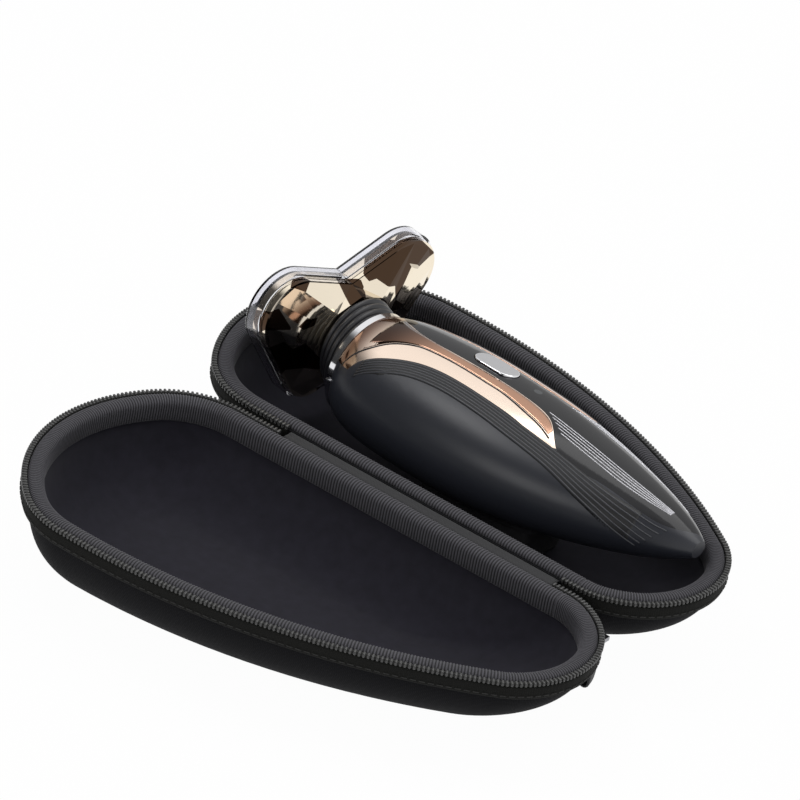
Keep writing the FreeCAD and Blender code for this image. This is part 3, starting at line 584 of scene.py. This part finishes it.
def row_tree():
    """Sets a small solid at even steps along a line, turned to follow it."""
    tree, given, result = new_tree("row", (("Pitch", "NodeSocketFloat"), ("Item", "NodeSocketObject"),
                                           ("Material", "NodeSocketMaterial")))
    link = tree.links.new
    curve = tree.nodes.new("GeometryNodeMeshToCurve")
    link(given.outputs["Geometry"], curve.inputs[0])
    steps = tree.nodes.new("GeometryNodeResampleCurve")
    steps.mode = "LENGTH"
    link(curve.outputs[0], steps.inputs["Curve"])
    link(given.outputs["Pitch"], steps.inputs["Length"])
    turn_to = tree.nodes.new("FunctionNodeAlignRotationToVector")
    turn_to.axis = "X"
    turn_to.pivot_axis = "Z"
    link(tree.nodes.new("GeometryNodeInputTangent").outputs[0], turn_to.inputs["Vector"])
    item = tree.nodes.new("GeometryNodeObjectInfo")
    link(given.outputs["Item"], item.inputs["Object"])
    place = tree.nodes.new("GeometryNodeInstanceOnPoints")
    link(steps.outputs[0], place.inputs["Points"])
    link(item.outputs["Geometry"], place.inputs["Instance"])
    link(turn_to.outputs[0], place.inputs["Rotation"])
    whole = tree.nodes.new("GeometryNodeRealizeInstances")
    link(place.outputs[0], whole.inputs[0])
    colour = tree.nodes.new("GeometryNodeSetMaterial")
    link(whole.outputs[0], colour.inputs["Geometry"])
    link(given.outputs["Material"], colour.inputs["Material"])
    link(colour.outputs[0], result.inputs[0])
    return tree


row = row_tree()


def pebble(name, length, width, height, soften):
    """Small rounded block round the origin, to be set in rows."""
    form = bmesh.new()
    bmesh.ops.create_cube(form, size=1.0)
    bmesh.ops.scale(form, vec=(length, width, height), verts=form.verts)
    bmesh.ops.bevel(form, geom=form.edges[:] + form.verts[:], offset=soften, segments=2, profile=0.6,
                    affect="EDGES")
    mesh = bpy.data.meshes.new(name)
    form.to_mesh(mesh)
    form.free()
    for face in mesh.polygons:
        face.use_smooth = True
    return bpy.data.objects.new(name, mesh)


def set_row(name, line, item, pitch, material):
    """A row of small solids along a line of points."""
    mesh = bpy.data.meshes.new(name)
    mesh.from_pydata(line, [(k, k + 1) for k in range(len(line) - 1)], [])
    made = bpy.data.objects.new(name, mesh)
    studio.collection.objects.link(made)
    set_down(made, row, {"Pitch": pitch, "Item": item, "Material": material})
    for face in made.data.polygons:
        face.use_smooth = True
    return made


def beside_rim(points, inset, drop):
    return [(x - nx * inset / 1000, y - ny * inset / 1000, RIM_Z - drop / 1000) for x, y, nx, ny in points]


zip_run = open_run(rim)
TAPE_PROFILE = ((2.3, 2.25), (0.9, 2.3), (0.5, 2.6), (0.45, 3.4), (0.5, 5.0), (0.55, 6.8), (0.7, 7.5), (1.3, 7.4),
                (1.35, 3.0), (2.3, 2.6))
zip_weave = woven(finish("zip_weave", (0.0125, 0.0127, 0.0113), 0.85, tone=0.25, grain=300.0, Sheen_Weight=0.02,
                         Specular_IOR_Level=0.15),
                  0.0005, 0.00008, 0.45)
tape_verts, tape_faces = open_sweep(zip_run, TAPE_PROFILE)
both_halves("tape", tape_verts, tape_faces, zip_weave, "zip_tape")
coil_nylon = finish("coil_nylon", (0.045, 0.045, 0.044), 0.22, tone=0.3, grain=900.0)
thread = finish("thread", (0.014, 0.014, 0.013), 0.8, tone=0.3, grain=2000.0)
tooth = pebble("tooth", 0.00095, 0.0021, 0.0015, 0.00032)
stitch = pebble("stitch", 0.0022, 0.00035, 0.00045, 0.00014)
for half in ("base", "lid"):
    for name, inset, drop, item, pitch, material, slot in (
            ("coil", 1.1, 1.45, tooth, TOOTH_PITCH, coil_nylon, "zip_coil"),
            ("tape_stitches", 0.45, 6.3, stitch, STITCH_PITCH, thread, "zip_tape")):
        line = beside_rim(zip_run, inset, drop)
        made = set_row(half + "_" + name, line if half == "base" else mirrored(line), item, pitch, material)
        if name == "coil":
            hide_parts(half + "_zip_coil")
        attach(made, half)
core_verts, core_faces = open_sweep(zip_run, ((0.75, 2.2), (0.7, 1.2), (1.0, 0.95), (1.6, 0.95), (2.05, 1.2),
                                              (2.1, 2.2)))
both_halves("coil_cord", core_verts, core_faces, thread, None)

# Hinge. A strip of smooth woven webbing is bonded between the two flanges.
HINGE_SECTION = ((2.75, 6.2), (2.78, 4.6), (2.7, 3.3), (2.3, 2.7), (1.4, 2.5), (0.5, 2.62), (-0.5, 2.62), (-1.4, 2.5),
                 (-2.3, 2.7), (-2.7, 3.3), (-2.7, 4.6), (-2.65, 6.2))
HINGE_STEPS = 60
webbing = woven(finish("webbing", (0.0165, 0.0165, 0.019), 0.7, tone=0.25, grain=200.0, Sheen_Weight=0.08),
                0.0007, 0.00006, 0.35)
strip_verts = []
for k in range(HINGE_STEPS + 1):
    x = HINGE_FROM_X + 0.0005 + (HINGE_TO_X - HINGE_FROM_X - 0.001) * k / HINGE_STEPS
    strip_verts += [(x, HINGE_Y + y / 1000, RIM_Z - drop / 1000) for y, drop in HINGE_SECTION]
wide = len(HINGE_SECTION)
strip_faces = [(r * wide + k, r * wide + k + 1, (r + 1) * wide + k + 1, (r + 1) * wide + k)
               for r in range(HINGE_STEPS) for k in range(wide - 1)]
strip = piece("hinge_strip", strip_verts, strip_faces, webbing)
thick = strip.modifiers.new("thickness", "SOLIDIFY")
thick.thickness = 0.0004
thick.offset = 0.0
view = bpy.context.evaluated_depsgraph_get()
view.update()
strip_mesh = bpy.data.meshes.new_from_object(strip.evaluated_get(view))
strip.modifiers.clear()
strip.data = strip_mesh
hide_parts("hinge_panel")
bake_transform(strip)

# Zip end and slider. The joined tapes run on past the hinge as a short tail with two crimped stops,
# and a cast slider with a flat pull sits on it.
tail_profile = ((-3.4, 10.9), (-3.4, 10.0), (-3.1, 9.65), (3.1, 9.65), (3.4, 10.0), (3.4, 10.9))
tail_verts = []
TAIL_FROM, TAIL_TO, TAIL_STEPS = 0.112, 0.135, 12
for k in range(TAIL_STEPS + 1):
    x = TAIL_FROM + (TAIL_TO - TAIL_FROM) * k / TAIL_STEPS
    tail_verts += [(x, HINGE_Y + y / 1000, RIM_Z - drop / 1000) for y, drop in tail_profile]
wide = len(tail_profile)
tail_faces = [(r * wide + k, r * wide + (k + 1) % wide, (r + 1) * wide + (k + 1) % wide, (r + 1) * wide + k)
              for r in range(TAIL_STEPS) for k in range(wide)]
tail_faces += [tuple(range(wide)), tuple(TAIL_STEPS * wide + k for k in range(wide))]
base = len(tail_verts)
LEG = ((112.0, -2.6), (116.0, -2.6), (116.0, 2.6), (112.0, 2.6))
for drop in (10.4, 6.5, 3.9):
    tail_verts += [(x / 1000, HINGE_Y + y / 1000, RIM_Z - drop / 1000) for x, y in LEG]
tail_faces += [(base + r * 4 + k, base + r * 4 + (k + 1) % 4, base + r * 4 + 4 + (k + 1) % 4, base + r * 4 + 4 + k)
               for r in range(2) for k in range(4)]
tail_faces += [(base, base + 1, base + 2, base + 3), (base + 8, base + 9, base + 10, base + 11)]
tail = piece("zip_tail_tape", tail_verts, tail_faces, zip_weave, smooth=False)
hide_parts("zip_tail")
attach(tail, "base")
tail_teeth = set_row("zip_tail_coil", [(0.1265, HINGE_Y, RIM_Z - 0.0100), (0.1345, HINGE_Y, RIM_Z - 0.0100)],
                     pebble("tail_tooth", 0.00095, 0.0032, 0.0008, 0.00025), TOOTH_PITCH, coil_nylon)
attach(tail_teeth, "base")
cast_metal = finish("cast_metal", (0.32, 0.32, 0.34), 0.28, tone=0.12, grain=600.0, Metallic=1.0)
for name in ("zip_slider", "zip_pull", "zip_end_stops"):
    paint_node(name, cast_metal)

# Grab tab. A folded loop of webbing sewn under the zip tape at the lid's tip, to hold the case while
# the slider is drawn.
TAB_SECTION = ((3.2, 7.5), (1.6, 7.9), (0.1, 8.1), (-0.4, 8.9), (-0.5, 12.0), (-0.5, 16.5), (-0.3, 18.0), (0.8, 18.6),
               (2.2, 18.3), (2.8, 17.0), (2.85, 12.0), (2.8, 8.8))
TAB_FROM, TAB_TO = radians(-39), radians(-11)
TAB_STEPS = 14
tab_verts = []
corner_x, corner_y, corner_r = RIM_CORNERS[0]
for k in range(TAB_STEPS + 1):
    angle = TAB_FROM + (TAB_TO - TAB_FROM) * k / TAB_STEPS
    for inset, drop in TAB_SECTION:
        reach = corner_r - inset / 1000
        tab_verts.append((corner_x + reach * cos(angle), corner_y + reach * sin(angle), RIM_Z - drop / 1000))
wide = len(TAB_SECTION)
tab_faces = [(r * wide + k, r * wide + k + 1, (r + 1) * wide + k + 1, (r + 1) * wide + k)
             for r in range(TAB_STEPS) for k in range(wide - 1)]
tab = piece("grab_loop", mirrored(tab_verts), tab_faces, webbing)
thick = tab.modifiers.new("thickness", "SOLIDIFY")
thick.thickness = 0.0010
thick.offset = 0.0
soft = tab.modifiers.new("soft", "SUBSURF")
soft.levels = soft.render_levels = 1
view = bpy.context.evaluated_depsgraph_get()
view.update()
tab_mesh = bpy.data.meshes.new_from_object(tab.evaluated_get(view))
tab.modifiers.clear()
tab.data = tab_mesh
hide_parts("grab_tab")
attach(tab, "lid")

# Cradle. A thin moulded tray carries the handle, on a block of soft foam.
low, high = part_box("foam_pad")
FOAM_ROWS = ((0.0, 0.0), (0.12, 0.02), (0.5, 0.05), (0.88, 0.02), (1.0, 0.0))
foam_black = finish("foam_black", (0.03, 0.03, 0.033), 0.95, tone=0.5, grain=900.0, relief=0.0002)
foam_source = nodes["foam_pad"].data
form = bmesh.new()
form.from_mesh(foam_source)
bmesh.ops.remove_doubles(form, verts=form.verts, dist=1e-6)
bmesh.ops.recalc_face_normals(form, faces=form.faces)
foam_mesh = bpy.data.meshes.new("cradle_foam")
form.to_mesh(foam_mesh)
form.free()
foam = bpy.data.objects.new("cradle_foam", foam_mesh)
studio.collection.objects.link(foam)
grow = foam.modifiers.new("cells", "REMESH")
grow.mode = "VOXEL"
grow.voxel_size = 0.0012
round_off = foam.modifiers.new("round", "SMOOTH")
round_off.iterations = 6
view = bpy.context.evaluated_depsgraph_get()
view.update()
foam_mesh = bpy.data.meshes.new_from_object(foam.evaluated_get(view))
foam.modifiers.clear()
foam.data = foam_mesh
foam_mesh.materials.clear()
foam_mesh.materials.append(foam_black)
for face in foam_mesh.polygons:
    face.use_smooth = True
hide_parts("foam_pad")
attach(foam, "base")
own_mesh(foam)
tray_plastic = finish("tray_plastic", (0.03, 0.03, 0.034), 0.55, tone=0.2, grain=400.0, relief=0.00002)
paint_node("cradle_tray", tray_plastic)

# Handle. The grip is moulded in satin blue-black plastic. A crescent of polished rose gold with a copper
# inner facet frames the gloss black top panel, and fine raised lines run beside it to the tail.
HEAD_BASE = Vector((0.012, -0.0018, 0.048))
HEAD_YAW, BODY_YAW, PANEL_ROLL = radians(-10.0), radians(-3.0), radians(25.0)
COLLAR_AT, NECK_AT = (0.0025, -0.0105), (0.0, -0.007)
head_out = Vector((-cos(HEAD_YAW), -sin(HEAD_YAW), 0))
head_side = Vector((sin(HEAD_YAW), -cos(HEAD_YAW), 0))
UPRIGHT = Vector((0, 0, 1))


def in_head(x, y, q):
    return HEAD_BASE + head_side * x + UPRIGHT * y + head_out * q


nose = in_head(COLLAR_AT[0], COLLAR_AT[1], 0.0)
tailward = Vector((cos(BODY_YAW), sin(BODY_YAW), 0))
across = Vector((-sin(BODY_YAW), cos(BODY_YAW), 0))
panel_side = across * cos(PANEL_ROLL) - UPRIGHT * sin(PANEL_ROLL)
panel_up = UPRIGHT * cos(PANEL_ROLL) + across * sin(PANEL_ROLL)
skin_verts = []
skin_faces = []
for name in ("handle_shell", "top_panel", "trim_left", "trim_right", "power_button", "status_light"):
    mesh = nodes[name].data
    mesh.calc_loop_triangles()
    start = len(skin_verts)
    skin_verts += [v.co.copy() for v in mesh.vertices]
    skin_faces += [tuple(start + v for v in t.vertices) for t in mesh.loop_triangles]
skin = BVHTree.FromPolygons(skin_verts, skin_faces)


def on_skin(station, aside, lift):
    """Point of the handle's skin at a station and a distance aside of the panel's middle, in millimetres.

    Beyond the crescent's edge the distance runs on round the skin."""
    level_part = max(-trim_edge(station), min(trim_edge(station), aside))
    middle = nose + tailward * (station / 1000)
    hit = None
    while hit is None:
        hit, normal, _, _ = skin.ray_cast(middle + panel_side * (level_part / 1000) + panel_up * 0.06, -panel_up)
        level_part *= 1 if hit else 0.96
    if aside != level_part:
        arm = hit - middle
        angle = atan2(arm.dot(panel_side), arm.dot(panel_up)) + (aside - level_part) / 1000 / arm.length
        ray = panel_side * sin(angle) + panel_up * cos(angle)
        hit, normal, _, _ = skin.ray_cast(middle + ray * 0.06, -ray)
    return hit + normal * (lift / 1000)


def smooth_line(points):
    """A function that runs smoothly through (station, value) points."""
    def value(station):
        spans = list(zip(points, points[1:]))
        for k, (a, b) in enumerate(spans):
            if station <= b[0] or k == len(spans) - 1:
                t = min(1.0, max(0.0, (station - a[0]) / (b[0] - a[0])))
                before = points[k - 1] if k else a
                after = points[k + 2] if k + 2 < len(points) else b
                m0 = (b[1] - before[1]) / (b[0] - before[0]) * (b[0] - a[0])
                m1 = (after[1] - a[1]) / (after[0] - a[0]) * (b[0] - a[0])
                return ((2 * t ** 3 - 3 * t ** 2 + 1) * a[1] + (t ** 3 - 2 * t ** 2 + t) * m0
                        + (3 * t ** 2 - 2 * t ** 3) * b[1] + (t ** 3 - t ** 2) * m1)
    return value


def ribbon(name, near, far, start, end, lift, material, columns=6, steps=70):
    """Raised band on the handle's skin between two lines, one on each side of the panel."""
    made = []
    for side, label in ((-1, "near"), (1, "far")):
        verts = []
        loop = [(0.0, -0.12)] + [(k / columns, lift * (1 if 0 < k < columns else 0.35)) for k in range(columns + 1)]
        loop.append((1.0, -0.12))
        for r in range(steps + 1):
            station = start + (end - start) * r / steps
            a, b = near(station), far(station)
            verts += [on_skin(station, side * (a + (b - a) * t), up) for t, up in loop]
        wide = len(loop)
        for _ in range(2):
            inner = [(verts[v - wide] + verts[v] * 2 + verts[v + wide]) / 4 for v in range(wide, steps * wide)]
            verts[wide:steps * wide] = inner
        faces = [(r * wide + k, r * wide + (k + 1) % wide, (r + 1) * wide + (k + 1) % wide, (r + 1) * wide + k)
                 for r in range(steps) for k in range(wide)]
        faces += [tuple(range(wide)), tuple(steps * wide + k for k in range(wide))]
        item = piece(name + "_" + label, verts, faces, material)
        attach(item, "shaver")
        made.append(item)
    return made


def bead(name, middle, width, start, end, lift, material, steps=90):
    return ribbon(name, lambda s: middle(s) - width / 2, lambda s: middle(s) + width / 2, start, end, lift, material,
                  columns=2, steps=steps)


satin = finish("satin_blue_black", (0.0195, 0.0215, 0.029), 0.36, tone=0.12, grain=2500.0, spread=0.03,
               relief=0.000004)
# Painted highlight: a lighter copy of the satin for the raised grip lines, where they catch the light.
grip_line_lit_satin = finish("grip_line_lit_satin", (0.045, 0.047, 0.055), 0.3, tone=0.12, grain=2500.0, spread=0.03)
# Painted shade: a near-black copy of the satin for the sheet that stands in for the shadow in the grip grooves.
groove_shade_black = finish("groove_shade_black", (0.006, 0.006, 0.007), 0.45, tone=0.12, grain=2500.0, spread=0.03)
rose_gold = finish("rose_gold", (0.94, 0.775, 0.65), 0.14, tone=0.04, grain=60.0, spread=0.03, Metallic=1.0)
copper = finish("copper", (0.5, 0.29, 0.2), 0.12, tone=0.06, grain=60.0, spread=0.03, Metallic=1.0)


def neck_reflection_tint(material, colour, start, end):
    """Painted reflection: tints a metal toward a darker colour near the neck, standing in for its mirror image of the
    rubber sleeve.
    """
    tree = material.node_tree
    along_handle = tree.nodes.new("ShaderNodeSeparateXYZ")
    tree.links.new(tree.nodes["Texture Coordinate"].outputs["Object"], along_handle.inputs[0])
    shaded = tree.nodes.new("ShaderNodeMix")
    shaded.data_type = "RGBA"
    shaded.inputs[6].default_value = colour
    tree.links.new(ramped(tree, along_handle.outputs["X"], start, end, 0.0, 1.0), shaded.inputs[0])
    tree.links.new(tree.nodes["Mix"].outputs[2], shaded.inputs[7])
    tree.links.new(shaded.outputs[2], tree.nodes["Principled BSDF"].inputs["Base Color"])


# Painted reflection of the dark sleeve on the copper facet and the rose gold trim, near the neck.
neck_reflection_tint(copper, (0.06, 0.036, 0.027, 1.0), 0.018, 0.045)
neck_reflection_tint(rose_gold, (0.16, 0.095, 0.07, 1.0), 0.011, 0.023)
gloss_black = finish("gloss_black", (0.008, 0.008, 0.01), 0.1, tone=0.1, grain=80.0, spread=0.02,
                     Specular_IOR_Level=0.35)
pin_silver = finish("pin_silver", (0.55, 0.55, 0.58), 0.3, tone=0.08, grain=300.0, Metallic=0.7)
for name, material in (("handle_shell", satin), ("top_panel", gloss_black), ("trim_left", rose_gold),
                       ("trim_right", rose_gold)):
    paint_node(name, material)
trim_edge = smooth_line(((-9.0, 30.0), (4.0, 25.0), (17.0, 21.2), (27.0, 18.7), (40.0, 17.5), (58.0, 17.4),
                         (72.0, 17.6), (88.0, 17.2), (107.0, 16.2), (124.0, 13.5), (139.0, 8.8), (146.5, 1.5)))
panel_edge = smooth_line(((3.0, 0.6), (12.0, 5.4), (30.0, 7.6), (54.0, 7.2), (68.0, 7.4), (78.0, 9.4), (84.5, 14.0)))
ridge_edge = smooth_line(((1.0, 23.3), (4.0, 22.2), (7.8, 20.4), (13.4, 16.4), (20.5, 13.2), (27.0, 12.3),
                          (37.0, 12.0), (50.0, 12.1), (58.0, 12.0), (70.0, 13.3), (78.0, 14.3), (84.5, 15.9)))
ribbon("copper_facet", lambda s: panel_edge(s) + 0.25, lambda s: ridge_edge(s) - 0.55, 5.5, 82.5, 0.1, copper,
       steps=110)
bead("ridge_line", ridge_edge, 0.6, 1.5, 84.0, 0.26, gloss_black, steps=130)
GRIP_LINES = 6


groove_spread = smooth_line(((0.0, 1.0), (80.0, 1.03), (95.0, 1.1), (113.0, 1.36), (129.0, 1.78), (140.0, 2.0)))


def groove_gap(line, station):
    return (0.8 + 1.1 * line) * groove_spread(station)


# Painted shade: a near-black sheet between the crescent's edge and the grip lines, where the grooves fall into shade.
ribbon("groove_floor", lambda s: trim_edge(s) + 0.15, lambda s: trim_edge(s) + groove_gap(GRIP_LINES - 0.4, s),
       9.0, 128.0, 0.05, groove_shade_black, columns=10, steps=110)
for k in range(GRIP_LINES):
    bead("grip_line_%d" % (k + 1), lambda s, line=k: trim_edge(s) + groove_gap(line, s), 0.55, 9.2, 138.0 - 1.5 * k,
         0.26, grip_line_lit_satin, steps=130)
for k in range(5):
    pin = smooth_line(((73.0, 6.5 + 1.2 * k), (101.0, 6.8 + 1.15 * k), (115.0, 6.6 + 1.05 * k),
                       (127.0, 5.8 + 0.75 * k), (136.0, 4.6 + 0.4 * k)))
    bead("pin_line_%d" % (k + 1), pin, 0.42, 75.0 + 2.5 * k, 135.0, 0.18, pin_silver)
button_chrome = finish("button_chrome", (0.8, 0.8, 0.82), 0.1, tone=0.05, grain=200.0, Metallic=1.0)
paint_node("power_button", button_chrome)
paint_node("status_light", finish("light_lens", (0.05, 0.055, 0.06), 0.15, tone=0.1, grain=800.0))

# Neck. A chromed collar closes the handle, two small studs release the head, and a rubber sleeve of
# four soft ribs covers the tilting joint between the collar and the head.
chrome = finish("chrome", (0.78, 0.78, 0.8), 0.08, tone=0.03, grain=100.0, spread=0.02, Metallic=1.0)
for name in ("neck_collar", "release_stud_left", "release_stud_right"):
    paint_node(name, chrome)
SLEEVE_FROM, SLEEVE_TO, SLEEVE_RIBS = 0.0025, 0.0126, 4
SLEEVE_SIDES = 96
RIB_STEPS = 10
sleeve_rubber = finish("sleeve_rubber", (0.014, 0.014, 0.017), 0.32, tone=0.2, grain=1200.0, spread=0.06,
                       relief=0.00001)


def sleeve_ring(share, radius):
    q = SLEEVE_FROM + (SLEEVE_TO - SLEEVE_FROM) * share
    x = COLLAR_AT[0] + (NECK_AT[0] - COLLAR_AT[0]) * share
    y = COLLAR_AT[1] + (NECK_AT[1] - COLLAR_AT[1]) * share
    ring = []
    for k in range(SLEEVE_SIDES):
        t = 2 * pi * k / SLEEVE_SIDES
        ring.append(in_head(x + radius * cos(t), y + radius * sin(t), q))
    return ring


sleeve_verts = []
total = SLEEVE_RIBS * RIB_STEPS
for k in range(total + 1):
    share = k / total
    crest = 0.0185 - 0.0016 * share
    wave = abs(sin(pi * SLEEVE_RIBS * share)) ** 0.6
    sleeve_verts += sleeve_ring(share, crest - 0.0016 + 0.0016 * wave)
for k in range(total + 1):
    sleeve_verts += sleeve_ring(1 - k / total, 0.0139)
sleeve = piece("neck_sleeve", sleeve_verts, ring_faces(2 * (total + 1), SLEEVE_SIDES, close_rows=True), sleeve_rubber)
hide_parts("neck_bellows")
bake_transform(sleeve)

# Head. The back is a mirror-gold faceted housing; a clear cap slips over its edge and covers the guards,
# under which ring cutters turn on a train of gears.
gold_mirror = finish("gold_mirror", (0.92, 0.82, 0.66), 0.06, tone=0.05, grain=40.0, spread=0.02, Metallic=1.0)
cut = gold_mirror.node_tree
# Painted reflection: Voronoi cells, shifted into place, tint part of the gold to dark brown where the facets would
# mirror dark surroundings.
facets = cut.nodes.new("ShaderNodeTexVoronoi")
facets.inputs["Scale"].default_value = 95.0
moved = cut.nodes.new("ShaderNodeMapping")
moved.inputs["Location"].default_value = (0.007, 0.026, 0.015)
cut.links.new(cut.nodes["Texture Coordinate"].outputs["Object"], moved.inputs["Vector"])
cut.links.new(moved.outputs[0], facets.inputs["Vector"])
one_tone = cut.nodes.new("ShaderNodeSeparateColor")
cut.links.new(facets.outputs["Color"], one_tone.inputs[0])
dark_reflection_facets = cut.nodes.new("ShaderNodeMix")
dark_reflection_facets.data_type = "RGBA"
dark_reflection_facets.inputs[6].default_value = (0.07, 0.042, 0.026, 1.0)
cut.links.new(ramped(cut, one_tone.outputs[0], 0.42, 0.5, 0.0, 1.0), dark_reflection_facets.inputs[0])
cut.links.new(cut.nodes["Mix"].outputs[2], dark_reflection_facets.inputs[7])
cut.links.new(dark_reflection_facets.outputs[2], cut.nodes["Principled BSDF"].inputs["Base Color"])
paint_node("head_housing", gold_mirror)
clear_plastic = finish("clear_plastic", (0.93, 0.93, 0.97), 0.04, tone=0.01, grain=40.0, spread=0.01,
                       Transmission_Weight=1.0, IOR=1.49)
paint_node("head_cap", clear_plastic)
guard_steel = finish("guard_steel", (0.62, 0.62, 0.64), 0.25, tone=0.08, grain=900.0, Metallic=1.0)
frame_black = finish("frame_black", (0.02, 0.02, 0.022), 0.3, tone=0.2, grain=500.0)
gear_white = finish("gear_white", (0.75, 0.75, 0.7), 0.45, tone=0.06, grain=400.0)
for k in (1, 2, 3, 4):
    paint_node("guard_%d" % k, guard_steel)
    paint_node("cutter_%d" % k, guard_steel)
    paint_node("cutter_gear_%d" % k, gear_white)
for name in ("idler_gear_1", "idler_gear_2", "drive_pinion"):
    paint_node(name, gear_white)
for name in ("guard_frame", "gear_plate", "neck_post", "chassis"):
    paint_node(name, frame_black)

# Works inside the handle: motor, cells, board, switch, socket and screws.
bright_steel = finish("bright_steel", (0.55, 0.55, 0.57), 0.32, tone=0.1, grain=700.0, Metallic=1.0)
for name in ("motor", "motor_bracket", "drive_shaft", "tilt_pins", "belly_screws", "charging_socket"):
    paint_node(name, bright_steel)
paint_node("battery_cells", finish("cell_wrap", (0.08, 0.2, 0.42), 0.35, tone=0.08, grain=300.0))
paint_node("circuit_board", finish("board_green", (0.03, 0.16, 0.08), 0.4, tone=0.25, grain=1500.0))
paint_node("power_switch", finish("switch_black", (0.03, 0.03, 0.03), 0.5, tone=0.2, grain=700.0))
